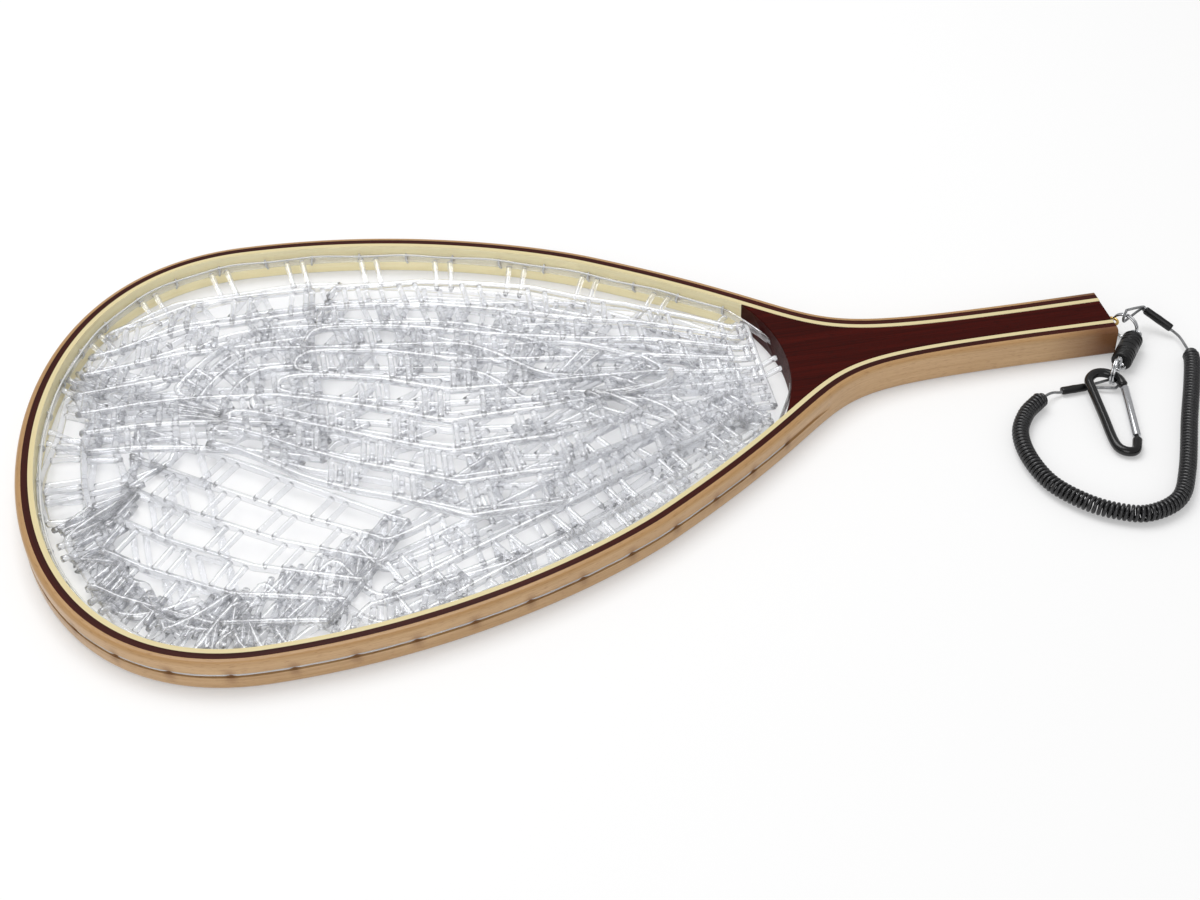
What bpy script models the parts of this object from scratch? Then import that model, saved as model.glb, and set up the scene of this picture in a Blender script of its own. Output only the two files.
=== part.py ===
"""Laminated wooden landing net with a clear net bag and a coiled tether, lying flat.

Metres, +Z up. +X runs along the handle to its butt, and the hoop's tip is at -X. The origin is on
the underside of the grip, on the net's centre line, at the level of the surface it lies on.
"""
import bmesh
import bpy
import numpy as np
from math import cos, pi, radians, sin
from mathutils import Matrix, Vector

GAP = 0.0003
GLUE = 0.0003
SHARP_ABOVE = radians(35.0)

# Bent frame: its driving line is the outer face of the middle lamination.
FRAME_HEIGHT = 0.017
BUTT_X = 0.060
TIP_X = -0.525
WIDEST_X = -0.4066
HALF_WIDTH = 0.1670
SHOULDER = (-0.2102, 0.1130)
SHOULDER_FALL = radians(32.8)
NECK_END_X = 0.0145
NECK_HALF = 0.0148
BUTT_HALF = 0.0152
TIP_PULL = 0.0857
WIDE_PULL_TIP = 0.0816
WIDE_PULL_NECK = 0.1107
SHOULDER_PULL_TIP = 0.0059
SHOULDER_PULL_NECK = 0.1628
NECK_PULL = 0.1440

OUTER_THICK = 0.0030
MIDDLE_THICK = 0.0032
INNER_THICK = 0.0027
OUTER_ROUND = 0.0024

# Handle core.
NOSE_CORNER_X = -0.131
NOSE_DEPTH = 0.0125
NOSE_CLEAR = 0.0060

# Net lacing: holes through the frame, and the groove that the cord lies in outside.
HOLE_COUNT = 38
HOLE_DIAMETER = 0.0020
HOLE_Z = 0.0090
HOLE_SIDES = 5
FIRST_HOLE_FROM_NOSE = 0.012
CUTTER_CLEAR = 0.003
GROOVE_WIDTH = 0.0024
GROOVE_DEPTH = 0.0018
GROOVE_END_X = -0.108
LACE_DIAMETER = 0.0010

# Net bag and the band that its edge ends in.
BAND_THICK = 0.0014
BAND_HEIGHT = 0.0044
BAG_WALL = 0.0010
BAG_REST_Z = 0.0006
# Rings of the bag from its edge to its flat bottom: how far in from the frame, and how high.
BAG_RINGS = ((0.0024, 0.0060), (0.0065, 0.0034), (0.0130, 0.0014), (0.0220, BAG_REST_Z))

# Screw eye, split rings and magnetic release.
EYE_RADIUS = 0.0034
EYE_WIRE = 0.0016
EYE_SHANK = 0.016
RING_WIRE = 0.0012
RING_PITCH = 0.00165
UPPER_RING_RADIUS = 0.0073
LOWER_RING_RADIUS = 0.0073
RELEASE_RADIUS = 0.0056
RELEASE_HALF = 0.0118
RELEASE_PARTING = 0.0004
RELEASE_DIRECTION = Vector((-0.62, -0.785, 0.0)).normalized()
RELEASE_Z = 0.0062
RIB_DEPTH = 0.0006
RIB_HALF = 0.0010
RIB_FLOOR = 0.0005
RIB_AT = (0.0072, 0.0042)
RELEASE_CHAMFER = 0.0014
EYE_SLACK = 0.0006
LUG_SLACK = 0.0004
MAGNET_RADIUS = 0.0040
MAGNET_THICK = 0.0028
LUG_RADIUS = 0.0030
LUG_WIRE = 0.0014
LUG_SHANK = 0.0050

# Carabiner, in its own plane: u runs from the big end to the small end, v from spine to gate.
CARABINER_ROD = 0.0050
GATE_ROD = 0.0044
GATE_NOSE_GAP = 0.0008
CARABINER_FROM_RING = Vector((-0.0158, 0.0030, -0.0012))
CARABINER_HEADING = radians(-95.0)
CARABINER_DIP = radians(3.9)
GATE_HINGE = (0.0490, 0.0128)
GATE_NOSE = (0.0130, 0.0175)
TONGUE_THICK = 0.0020
TONGUE_RADIUS = 0.0018
TONGUE_BAR = (0.0050, 0.0034)
GATE_TAIL = 0.0020
GATE_SLOT = (0.0070, 0.0120)
GATE_PIN_RADIUS = 0.00075

# Lanyard.
CABLE = 0.0015
LANE = 0.0009
COIL_RADIUS = 0.0037
COIL_CURLS = 52
POINTS_PER_CURL = 8
SLEEVE_WIDTH = 0.0050
SLEEVE_HEIGHT = 0.0032
SLEEVE_WALL = 0.00025
FERRULE_LENGTH = 0.0070
LEAD_STRAIGHT = 0.0020
LOOP_RADIUS = 0.0036
FAR_HOOK_Z = 0.0027
COIL_Z = 0.0047
# Lanyard points: the near end and the coil from the foot of the butt, the far end from the lower ring.
NEAR_SLEEVE = ((0.0250, 0.0030, 0.0110), (0.0362, -0.0092, 0.0052))
NEAR_LEAD = ((0.0372, -0.0290, 0.0047), (0.0378, -0.0230, 0.0044), (0.0380, -0.0160, 0.0042))
COIL_ROUTE = ((0.0372, -0.0293), (0.0355, -0.0380), (0.0264, -0.0580), (0.0134, -0.0844), (-0.0042, -0.1216),
              (-0.0172, -0.1412), (-0.0355, -0.1481), (-0.0507, -0.1433), (-0.0636, -0.1330),
              (-0.0744, -0.1167), (-0.0781, -0.0959), (-0.0758, -0.0770), (-0.0678, -0.0630))
COIL_FAR_END = ((-0.0489, -0.0133, -0.0035), (-0.0429, -0.0091, -0.0035))
FAR_SLEEVE = ((-0.0169, -0.0028, -0.0062), (-0.0309, -0.0035, -0.0060))
FAR_LEAD = ((-0.0426, -0.0089, -0.0035), (-0.0397, -0.0071, -0.0038), (-0.0363, -0.0053, -0.0048))

for old in list(bpy.data.objects):
    bpy.data.objects.remove(old)
parts = bpy.data.collections.new("landing_net")
cutters = bpy.data.collections.new("cutters")
bpy.context.scene.collection.children.link(parts)
bpy.context.scene.collection.children.link(cutters)
cutters.hide_render = True


def material(name, colour, roughness, metallic=0.0):
    made = bpy.data.materials.new(name)
    made.use_nodes = True
    shader = made.node_tree.nodes["Principled BSDF"]
    shader.inputs["Base Color"].default_value = (*colour, 1.0)
    shader.inputs["Roughness"].default_value = roughness
    shader.inputs["Metallic"].default_value = metallic
    return made


ASH = material("ash", (0.50, 0.33, 0.18), 0.35)
WALNUT = material("walnut", (0.09, 0.03, 0.02), 0.3)
MAPLE = material("maple", (0.62, 0.54, 0.38), 0.35)
MAHOGANY = material("mahogany", (0.07, 0.02, 0.015), 0.25)
CLEAR_RUBBER = material("clear_rubber", (0.85, 0.88, 0.92), 0.2)
BRASS = material("brass", (0.70, 0.50, 0.22), 0.3, 1.0)
STEEL = material("steel", (0.62, 0.62, 0.64), 0.25, 1.0)
MAGNET = material("magnet", (0.45, 0.45, 0.47), 0.3, 1.0)
BLACK_PLASTIC = material("black_plastic", (0.012, 0.012, 0.013), 0.4)
BLACK_METAL = material("black_metal", (0.01, 0.01, 0.011), 0.3, 0.6)
CORD_GREY = material("cord_grey", (0.05, 0.055, 0.06), 0.35)


def finish(obj, look, collection=parts):
    """Names the object's material, puts it in its collection and hides a cutter."""
    obj.data.materials.clear()
    if look:
        obj.data.materials.append(look)
    for holder in list(obj.users_collection):
        holder.objects.unlink(obj)
    collection.objects.link(obj)
    if collection is cutters:
        obj.hide_render = True
        obj.display_type = "WIRE"
    return obj


def as_mesh(obj):
    """Turns a curve, or an object with live modifiers, into a welded mesh under the same name."""
    bpy.context.view_layer.update()
    graph = bpy.context.evaluated_depsgraph_get()
    mesh = bpy.data.meshes.new_from_object(obj.evaluated_get(graph))
    work = bmesh.new()
    work.from_mesh(mesh)
    bmesh.ops.remove_doubles(work, verts=work.verts, dist=1e-6)
    bmesh.ops.recalc_face_normals(work, faces=work.faces)
    work.to_mesh(mesh)
    work.free()
    name, place, holder = obj.name, obj.matrix_world.copy(), obj.users_collection[0]
    bpy.data.objects.remove(obj)
    made = bpy.data.objects.new(name, mesh)
    made.matrix_world = place
    holder.objects.link(made)
    if holder is cutters:
        made.hide_render = True
        made.display_type = "WIRE"
    return made


def cut(target, tool, operation="DIFFERENCE"):
    """Adds an exact Boolean of the tool to the target, which is a mesh."""
    boolean = target.modifiers.new(operation.lower() + "_" + tool.name, "BOOLEAN")
    boolean.operation = operation
    boolean.object = tool
    boolean.solver = "EXACT"


def poly_curve(name, points, cyclic=False, flat=False):
    data = bpy.data.curves.new(name, "CURVE")
    data.dimensions = "2D" if flat else "3D"
    spline = data.splines.new("POLY")
    spline.points.add(len(points) - 1)
    flat_points = [(*p, 0.0, 1.0)[:4] if len(p) == 2 else (*p, 1.0) for p in points]
    spline.points.foreach_set("co", np.array(flat_points, float).ravel())
    spline.use_cyclic_u = cyclic
    return bpy.data.objects.new(name, data)


def tube(name, points, diameter, look, sides_level=2):
    """A round tube along the points, with filled ends."""
    obj = poly_curve(name, points)
    parts.objects.link(obj)
    obj.data.bevel_depth = diameter / 2
    obj.data.bevel_resolution = sides_level
    obj.data.use_fill_caps = True
    return finish(obj, look)


def bent_strip(name, path, section, look, collection=parts, cyclic=False):
    """A section (outward offset, height) carried along a flat path, as a bevelled curve made a mesh."""
    profile = poly_curve(name + "_section", [(-out, z) for out, z in section], cyclic=True, flat=True)
    cutters.objects.link(profile)
    obj = poly_curve(name, path, cyclic=cyclic, flat=True)
    collection.objects.link(obj)
    obj.data.bevel_mode = "OBJECT"
    obj.data.bevel_object = profile
    obj.data.use_fill_caps = not cyclic
    made = as_mesh(finish(obj, look, collection))
    bpy.data.objects.remove(profile)
    return made


def extruded(name, outline, height, look, z=0.0):
    """A flat outline raised from z by its height."""
    obj = poly_curve(name, outline, cyclic=True, flat=True)
    parts.objects.link(obj)
    obj.data.fill_mode = "BOTH"
    obj.data.extrude = height / 2
    obj.location.z = z + height / 2
    return as_mesh(finish(obj, look))


def smooth_route(points, step):
    """A Catmull-Rom curve through the route's own points, read about one step apart."""
    p = np.array(points, float)
    p = np.vstack([2 * p[0] - p[1], p, 2 * p[-1] - p[-2]])
    dense = []
    for a, b, c, d in zip(p[:-3], p[1:-2], p[2:-1], p[3:]):
        t = np.linspace(0, 1, 24, endpoint=False)[:, None]
        dense.append(0.5 * (2 * b + (c - a) * t + (2 * a - 5 * b + 4 * c - d) * t**2
                            + (3 * b - a - 3 * c + d) * t**3))
    dense = np.vstack(dense + [p[-2:-1]])
    run = np.r_[0, np.cumsum(np.linalg.norm(np.diff(dense, axis=0), axis=1))]
    stations = np.linspace(0, run[-1], max(2, int(round(run[-1] / step)) + 1))
    return np.stack([np.interp(stations, run, dense[:, k]) for k in range(3)], axis=1)


# Frame outline

def bezier(a, b, c, d, count):
    t = np.linspace(0, 1, count)[:, None]
    a, b, c, d = (np.array(p, float) for p in (a, b, c, d))
    return (1 - t)**3 * a + 3 * (1 - t)**2 * t * b + 3 * (1 - t) * t**2 * c + t**3 * d


def half_outline(per_bend):
    """The far half of the driving line, from the tip to the butt: three bends and a straight grip."""
    fall = np.array([cos(SHOULDER_FALL), -sin(SHOULDER_FALL)])
    shoulder = np.array(SHOULDER)
    widest = np.array([WIDEST_X, HALF_WIDTH])
    neck = np.array([NECK_END_X, NECK_HALF])
    crown = bezier((TIP_X, 0), (TIP_X, TIP_PULL), widest - [WIDE_PULL_TIP, 0], widest, per_bend)
    side = bezier(widest, widest + [WIDE_PULL_NECK, 0], shoulder - fall * SHOULDER_PULL_TIP,
                  shoulder, per_bend)
    throat = bezier(shoulder, shoulder + fall * SHOULDER_PULL_NECK, neck - [NECK_PULL, 0], neck, per_bend)
    return np.vstack([crown, side[1:], throat[1:], [[BUTT_X, BUTT_HALF]]])


def outline(per_bend=11):
    """The whole driving line, from the near side of the butt round the tip to the far side."""
    far = half_outline(per_bend)
    return np.vstack([far[::-1] * [1, -1], far[1:]])


def outward(points):
    """Unit normals of the driving line, pointing out of the hoop."""
    along = np.gradient(points, axis=0)
    along /= np.linalg.norm(along, axis=1)[:, None]
    return np.stack([-along[:, 1], along[:, 0]], axis=1)


def offset_line(points, distance):
    return points + outward(points) * distance


LINE = outline()
LINE_RUN = np.r_[0, np.cumsum(np.linalg.norm(np.diff(LINE, axis=0), axis=1))]
LINE_OUT = outward(LINE)


def on_frame(run, distance, z):
    """The point at this run along the driving line, this far outward of it, at height z."""
    base = np.array([np.interp(run, LINE_RUN, LINE[:, k]) for k in (0, 1)])
    out = np.array([np.interp(run, LINE_RUN, LINE_OUT[:, k]) for k in (0, 1)])
    out /= np.linalg.norm(out)
    return np.array([*(base + out * distance), z])


def run_at_x(x):
    """The run along the driving line at which its near side passes x."""
    near = LINE[:len(LINE) // 2 + 1]
    return float(np.interp(-x, -near[:, 0], LINE_RUN[:len(near)]))


OUTER_FACE = GLUE + OUTER_THICK
MIDDLE_BACK = -MIDDLE_THICK
INNER_FRONT = MIDDLE_BACK - GLUE
INNER_FACE = INNER_FRONT - INNER_THICK
CORE_FACE = INNER_FACE - GLUE


# Lacing holes and groove

NOSE_RUN = run_at_x(NOSE_CORNER_X)
FIRST_HOLE = NOSE_RUN + FIRST_HOLE_FROM_NOSE
LAST_HOLE = LINE_RUN[-1] - FIRST_HOLE
HOLE_RUNS = np.linspace(FIRST_HOLE, LAST_HOLE, HOLE_COUNT)
drill = bmesh.new()
for run in HOLE_RUNS:
    inner_end = on_frame(run, INNER_FACE - 2 * CUTTER_CLEAR, HOLE_Z)
    outer_end = on_frame(run, OUTER_FACE + CUTTER_CLEAR, HOLE_Z)
    axis = Vector(outer_end - inner_end)
    turn = axis.to_track_quat("Z", "Y").to_matrix().to_4x4()
    place = Matrix.Translation(Vector((inner_end + outer_end) / 2)) @ turn
    bmesh.ops.create_cone(drill, cap_ends=True, segments=HOLE_SIDES, radius1=HOLE_DIAMETER / 2,
                          radius2=HOLE_DIAMETER / 2, depth=axis.length, matrix=place)
drill_mesh = bpy.data.meshes.new("hole_drills")
drill.to_mesh(drill_mesh)
drill.free()
hole_drills = finish(bpy.data.objects.new("hole_drills", drill_mesh), None, cutters)

groove_line = LINE[LINE[:, 0] < GROOVE_END_X]
groove_low, groove_high = HOLE_Z - GROOVE_WIDTH / 2, HOLE_Z + GROOVE_WIDTH / 2
groove_floor, groove_mouth = OUTER_FACE - GROOVE_DEPTH, OUTER_FACE + CUTTER_CLEAR * 2 / 3
groove_section = [(groove_floor, groove_low), (groove_mouth, groove_low),
                  (groove_mouth, groove_high), (groove_floor, groove_high)]


# Laminations

def strip_section(low, high, rounding=0.0, corners=3):
    """The strip's section, with its outer top and bottom edges rounded."""
    if not rounding:
        return [(low, 0.0), (high, 0.0), (high, FRAME_HEIGHT), (low, FRAME_HEIGHT)]
    angles = np.linspace(0, pi / 2, corners)
    lower = [(high - rounding + rounding * sin(a), rounding - rounding * cos(a)) for a in angles]
    top = FRAME_HEIGHT - rounding
    upper = [(high - rounding + rounding * cos(a), top + rounding * sin(a)) for a in angles]
    return [(low, 0.0), *lower, *upper, (low, FRAME_HEIGHT)]


outer_lamination = bent_strip("outer_lamination", LINE, strip_section(GLUE, OUTER_FACE, OUTER_ROUND), ASH)
middle_lamination = bent_strip("middle_lamination", LINE, strip_section(MIDDLE_BACK, 0.0), WALNUT)
inner_lamination = bent_strip("inner_lamination", LINE, strip_section(INNER_FACE, INNER_FRONT), MAPLE)
groove_cutter = bent_strip("groove_cutter", groove_line, groove_section, None, cutters)
cut(outer_lamination, groove_cutter)
for strip in (outer_lamination, middle_lamination, inner_lamination):
    cut(strip, hole_drills)


# Handle core with its hollowed nose

def leg_line(x_from, side):
    """The core's face along one leg of the frame, from x_from to the butt."""
    face = offset_line(outline(24), CORE_FACE)
    leg = face[len(face) // 2:] if side > 0 else face[:len(face) // 2 + 1][::-1]
    return leg[leg[:, 0] > x_from]


def nose_line(count=9):
    """The hollow nose from its near corner to its far corner: a parabola that bows towards the grip."""
    half = leg_line(NOSE_CORNER_X, 1)[0, 1]
    y = np.linspace(-half, half, count)
    x = NOSE_CORNER_X + NOSE_DEPTH * (1 - (y / half)**2)
    return np.stack([x, y], axis=1)


NOSE = nose_line()
far_leg = leg_line(NOSE_CORNER_X + 0.002, 1)
near_leg = leg_line(NOSE_CORNER_X + 0.002, -1)
handle_core = extruded("handle_core", np.vstack([NOSE, far_leg, near_leg[::-1]]), FRAME_HEIGHT, MAHOGANY)


# Bag band, bag and lacing

def hoop_loop(inset, nose_inset):
    """A closed loop inside the hoop: along the inner face at an inset, and across the nose."""
    side = offset_line(LINE, INNER_FACE - inset)
    side = side[LINE[:, 0] < NOSE_CORNER_X - NOSE_CLEAR]
    reach = NOSE[-1, 1] - NOSE_CLEAR
    y = np.linspace(reach, -reach, 7)
    nose = np.stack([np.interp(y, NOSE[:, 1], NOSE[:, 0]) - nose_inset, y], axis=1)
    return np.vstack([side, nose])


band_line = hoop_loop(GAP + BAND_THICK / 2, 3 * GAP + BAND_THICK)
band_low = HOLE_Z - BAND_HEIGHT / 2
band_section = [(-BAND_THICK / 2, band_low), (BAND_THICK / 2, band_low),
                (BAND_THICK / 2, band_low + BAND_HEIGHT), (-BAND_THICK / 2, band_low + BAND_HEIGHT)]
bag_band = bent_strip("bag_band", band_line, band_section, CLEAR_RUBBER, cyclic=True)
cut(bag_band, hole_drills)

bag_surface = bmesh.new()
rows = []
for inset, z in BAG_RINGS:
    loop = hoop_loop(inset, inset)
    rows.append([bag_surface.verts.new((*p, z)) for p in loop])
for upper, lower in zip(rows[:-1], rows[1:]):
    for k in range(len(upper)):
        after = (k + 1) % len(upper)
        bag_surface.faces.new((upper[k], upper[after], lower[after], lower[k]))
bag_surface.faces.new(rows[-1])
bmesh.ops.recalc_face_normals(bag_surface, faces=bag_surface.faces)
bag_mesh = bpy.data.meshes.new("net_bag")
bag_surface.to_mesh(bag_mesh)
bag_surface.free()
net_bag = finish(bpy.data.objects.new("net_bag", bag_mesh), CLEAR_RUBBER)
bag_wall = net_bag.modifiers.new("wall", "SOLIDIFY")
bag_wall.thickness = BAG_WALL
bag_wall.offset = 0.0

lace_out = OUTER_FACE - GROOVE_DEPTH + 3 * GAP + LACE_DIAMETER / 2
lace_in = INNER_FACE - GAP - BAND_THICK - 2 * GAP - LACE_DIAMETER / 2
lace_points = []
for index, run in enumerate(HOLE_RUNS):
    first, last = (lace_in, lace_out) if index % 2 == 0 else (lace_out, lace_in)
    lace_points += [on_frame(run, first, HOLE_Z), on_frame(run, last, HOLE_Z)]
    if index + 1 < HOLE_COUNT:
        lace_points.append(on_frame((run + HOLE_RUNS[index + 1]) / 2, last, HOLE_Z))
lacing = tube("lacing", lace_points, LACE_DIAMETER, CLEAR_RUBBER, 1)


# Eyes, rings and release

def eyelet(name, centre, shank_direction, radius, wire, shank, look):
    """A flat ring of wire with a straight shank that leaves its rim, joined to one solid."""
    bpy.ops.mesh.primitive_torus_add(location=centre, major_radius=radius, minor_radius=wire / 2,
                                     major_segments=20, minor_segments=8)
    ring = finish(bpy.context.object, look)
    ring.name = name
    direction = Vector(shank_direction).normalized()
    middle = Vector(centre) + direction * (radius + shank / 2)
    bpy.ops.mesh.primitive_cylinder_add(vertices=8, radius=wire / 2 * 0.9, depth=shank, location=middle,
                                        rotation=direction.to_track_quat("Z", "Y").to_euler())
    stem = finish(bpy.context.object, None, cutters)
    stem.name = name + "_shank"
    cut(ring, stem, "UNION")
    return ring


def bore(target, start, direction, radius, depth):
    """A round hole from a point along a direction, its cutter starting clear of the face."""
    direction = Vector(direction).normalized()
    middle = Vector(start) + direction * (depth / 2 - 0.001)
    bpy.ops.mesh.primitive_cylinder_add(vertices=10, radius=radius, depth=depth + 0.002, location=middle,
                                        rotation=direction.to_track_quat("Z", "Y").to_euler())
    tool = finish(bpy.context.object, None, cutters)
    tool.name = target.name + "_bore"
    cut(target, tool)


def split_ring(name, centre, toward, radius, split_at, look):
    """Two turns of wire in the upright plane that holds the direction, split at an angle up from it."""
    toward = Vector(toward).normalized()
    side = toward.cross(Vector((0, 0, 1)))
    turns = np.linspace(0, 4 * pi, 37)
    climb = Vector((0, 0, 1))
    points = [Vector(centre) + toward * (radius * cos(a + split_at)) + climb * (radius * sin(a + split_at))
              + side * (RING_PITCH * (a / (2 * pi) - 1.0)) for a in turns]
    return tube(name, points, RING_WIRE, look, 1)


EYE_CENTRE = Vector((BUTT_X + GAP + EYE_WIRE / 2 + EYE_RADIUS, 0.0, FRAME_HEIGHT / 2))
screw_eye = eyelet("screw_eye", EYE_CENTRE, (-1, 0, 0), EYE_RADIUS, EYE_WIRE, EYE_SHANK, BRASS)
bore(handle_core, (BUTT_X, 0.0, FRAME_HEIGHT / 2), (-1, 0, 0), EYE_WIRE / 2 + GAP, EYE_SHANK)

UPPER_RING_WAY = Vector((0.65, -0.76, 0.0)).normalized()
UPPER_RING_AT = EYE_CENTRE + Vector((EYE_SLACK, 0.0, 0.0)) + UPPER_RING_WAY * UPPER_RING_RADIUS
split_ring("upper_split_ring", UPPER_RING_AT, UPPER_RING_WAY, UPPER_RING_RADIUS, -pi / 2, STEEL)

drop = UPPER_RING_AT.z - RELEASE_Z
ring_chord = (UPPER_RING_RADIUS**2 - drop**2)**0.5
UPPER_LUG = UPPER_RING_AT + UPPER_RING_WAY * ring_chord + RELEASE_DIRECTION * LUG_SLACK
UPPER_LUG.z = RELEASE_Z
LUG_REACH = LUG_RADIUS + LUG_WIRE / 2 + GAP
RELEASE_TOP = UPPER_LUG + RELEASE_DIRECTION * LUG_REACH
PARTING = RELEASE_TOP + RELEASE_DIRECTION * RELEASE_HALF
LOWER_FACE = PARTING + RELEASE_DIRECTION * RELEASE_PARTING
RELEASE_END = LOWER_FACE + RELEASE_DIRECTION * RELEASE_HALF
LOWER_LUG = RELEASE_END + RELEASE_DIRECTION * LUG_REACH


def release_body(name, end, direction):
    """A turned half of the release: ribbed outside, bored for its eye, with a pocket for its magnet."""
    outer, pocket, hole = RELEASE_RADIUS, MAGNET_RADIUS + GAP, LUG_WIRE / 2 + GAP
    length, floor = RELEASE_HALF, RELEASE_HALF - MAGNET_THICK - GAP
    profile = [(pocket, length), (outer, length)]
    for rib in RIB_AT:
        profile += [(outer, rib + RIB_HALF), (outer - RIB_DEPTH, rib + RIB_FLOOR),
                    (outer - RIB_DEPTH, rib - RIB_FLOOR), (outer, rib - RIB_HALF)]
    profile += [(outer, RELEASE_CHAMFER), (outer - RELEASE_CHAMFER, 0.0), (hole, 0.0), (hole, floor),
                (pocket, floor)]
    mesh = bpy.data.meshes.new(name)
    edges = [(k, (k + 1) % len(profile)) for k in range(len(profile))]
    mesh.from_pydata([(r, 0.0, z) for r, z in profile], edges, [])
    obj = finish(bpy.data.objects.new(name, mesh), BLACK_PLASTIC)
    spin = obj.modifiers.new("turn", "SCREW")
    spin.steps = 20
    spin.render_steps = 20
    spin.use_merge_vertices = True
    spin.merge_threshold = 0.00001
    obj.location = end
    obj.rotation_euler = Vector(direction).to_track_quat("Z", "Y").to_euler()
    return obj


def magnet(name, face, direction):
    """A disc magnet in its pocket, a hair under the parting face."""
    direction = Vector(direction).normalized()
    middle = Vector(face) - direction * (MAGNET_THICK / 2 + GAP / 2)
    bpy.ops.mesh.primitive_cylinder_add(vertices=20, radius=MAGNET_RADIUS, depth=MAGNET_THICK,
                                        location=middle,
                                        rotation=direction.to_track_quat("Z", "Y").to_euler())
    obj = finish(bpy.context.object, MAGNET)
    obj.name = name
    return obj


release_upper_body = release_body("release_upper_body", RELEASE_TOP, RELEASE_DIRECTION)
release_lower_body = release_body("release_lower_body", RELEASE_END, -RELEASE_DIRECTION)
magnet("release_upper_magnet", PARTING, RELEASE_DIRECTION)
magnet("release_lower_magnet", LOWER_FACE, -RELEASE_DIRECTION)
eyelet("release_upper_eye", UPPER_LUG, RELEASE_DIRECTION, LUG_RADIUS, LUG_WIRE, LUG_SHANK, STEEL)
eyelet("release_lower_eye", LOWER_LUG, -RELEASE_DIRECTION, LUG_RADIUS, LUG_WIRE, LUG_SHANK, STEEL)

LOWER_RING_WAY = RELEASE_DIRECTION
LOWER_RING_AT = Vector((LOWER_LUG.x, LOWER_LUG.y, LOWER_RING_RADIUS + RING_WIRE / 2 + GAP))
lower_drop = LOWER_RING_AT.z - RELEASE_Z
LOWER_RING_AT += LOWER_RING_WAY * (LOWER_RING_RADIUS**2 - lower_drop**2)**0.5
split_ring("lower_split_ring", LOWER_RING_AT, LOWER_RING_WAY, LOWER_RING_RADIUS, pi / 2, STEEL)


# Carabiner: a bent rod, and a gate that turns on a pin

carabiner_frame = bpy.data.objects.new("carabiner_frame", None)
parts.objects.link(carabiner_frame)
carabiner_frame.location = LOWER_RING_AT + CARABINER_FROM_RING
carabiner_frame.rotation_euler = (Matrix.Rotation(CARABINER_HEADING, 3, "Z")
                                  @ Matrix.Rotation(CARABINER_DIP, 3, "Y")).to_euler()
hinge_u, hinge_v = GATE_HINGE
nose_u, nose_v = GATE_NOSE
ROD_POINTS = [(nose_u, nose_v, 0), (0.0062, 0.0160, 0), (0.0016, 0.0110, 0), (0.0012, 0.0050, 0),
              (0.0060, 0.0004, 0), (0.0140, 0.0, 0), (0.0340, 0.0, 0), (0.0540, 0.0, 0),
              (0.0605, 0.0030, 0), (0.0610, 0.0088, 0), (hinge_u + 0.0034, hinge_v - 0.0003, 0)]
carabiner_body = tube("carabiner_body", smooth_route(ROD_POINTS, 0.0036), CARABINER_ROD, BLACK_METAL, 3)
carabiner_body = as_mesh(carabiner_body)
carabiner_body.parent = carabiner_frame

tongue = bmesh.new()
bmesh.ops.create_cone(tongue, cap_ends=True, segments=12, radius1=TONGUE_RADIUS, radius2=TONGUE_RADIUS,
                      depth=TONGUE_THICK, matrix=Matrix.Translation((hinge_u, hinge_v, 0)))
tongue_mesh = bpy.data.meshes.new("tongue")
tongue.to_mesh(tongue_mesh)
tongue.free()
tongue_round = finish(bpy.data.objects.new("tongue_round", tongue_mesh), None, cutters)
tongue_round.parent = carabiner_frame
bpy.ops.mesh.primitive_cube_add(size=1)
tongue_bar = finish(bpy.context.object, None, cutters)
tongue_bar.name = "tongue_bar"
tongue_bar.data.transform(Matrix.Translation((hinge_u + TONGUE_BAR[0] / 2, hinge_v - 0.0002, 0))
                          @ Matrix.Diagonal((*TONGUE_BAR, TONGUE_THICK * 0.98, 1)))
tongue_bar.parent = carabiner_frame
cut(carabiner_body, tongue_bar, "UNION")
cut(carabiner_body, tongue_round, "UNION")

gate_way = Vector((nose_u - hinge_u, nose_v - hinge_v, 0.0))
gate_length = gate_way.length - GATE_NOSE_GAP
gate_way.normalize()
bpy.ops.mesh.primitive_cylinder_add(vertices=14, radius=GATE_ROD / 2, depth=gate_length + GATE_TAIL)
carabiner_gate = finish(bpy.context.object, STEEL)
carabiner_gate.name = "carabiner_gate"
lie_along = gate_way.to_track_quat("Z", "Y").to_matrix().to_4x4()
carabiner_gate.data.transform(Matrix.Translation(gate_way * ((gate_length - GATE_TAIL) / 2)) @ lie_along)
carabiner_gate.location = (hinge_u, hinge_v, 0)
carabiner_gate.parent = carabiner_frame
bpy.ops.mesh.primitive_cube_add(size=1)
gate_slot = finish(bpy.context.object, None, cutters)
gate_slot.name = "gate_slot"
slot_turn = gate_way.to_track_quat("X", "Z").to_matrix().to_4x4()
gate_slot.data.transform(Matrix.Translation((hinge_u, hinge_v, 0)) @ slot_turn
                         @ Matrix.Diagonal((*GATE_SLOT, TONGUE_THICK + 2 * GAP, 1)))
gate_slot.parent = carabiner_frame
cut(carabiner_gate, gate_slot)
bpy.ops.mesh.primitive_cylinder_add(vertices=12, radius=GATE_PIN_RADIUS + GAP, depth=0.012)
pin_hole = finish(bpy.context.object, None, cutters)
pin_hole.name = "pin_hole"
pin_hole.location = (hinge_u, hinge_v, 0)
pin_hole.parent = carabiner_frame
cut(carabiner_gate, pin_hole)
cut(carabiner_body, pin_hole)
bpy.ops.mesh.primitive_cylinder_add(vertices=12, radius=GATE_PIN_RADIUS, depth=GATE_ROD * 0.95)
gate_pin = finish(bpy.context.object, STEEL)
gate_pin.name = "gate_pin"
gate_pin.location = (hinge_u, hinge_v, 0)
gate_pin.parent = carabiner_frame


# Lanyard: a loop and sleeve at each end, and one curly cord between them

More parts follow.
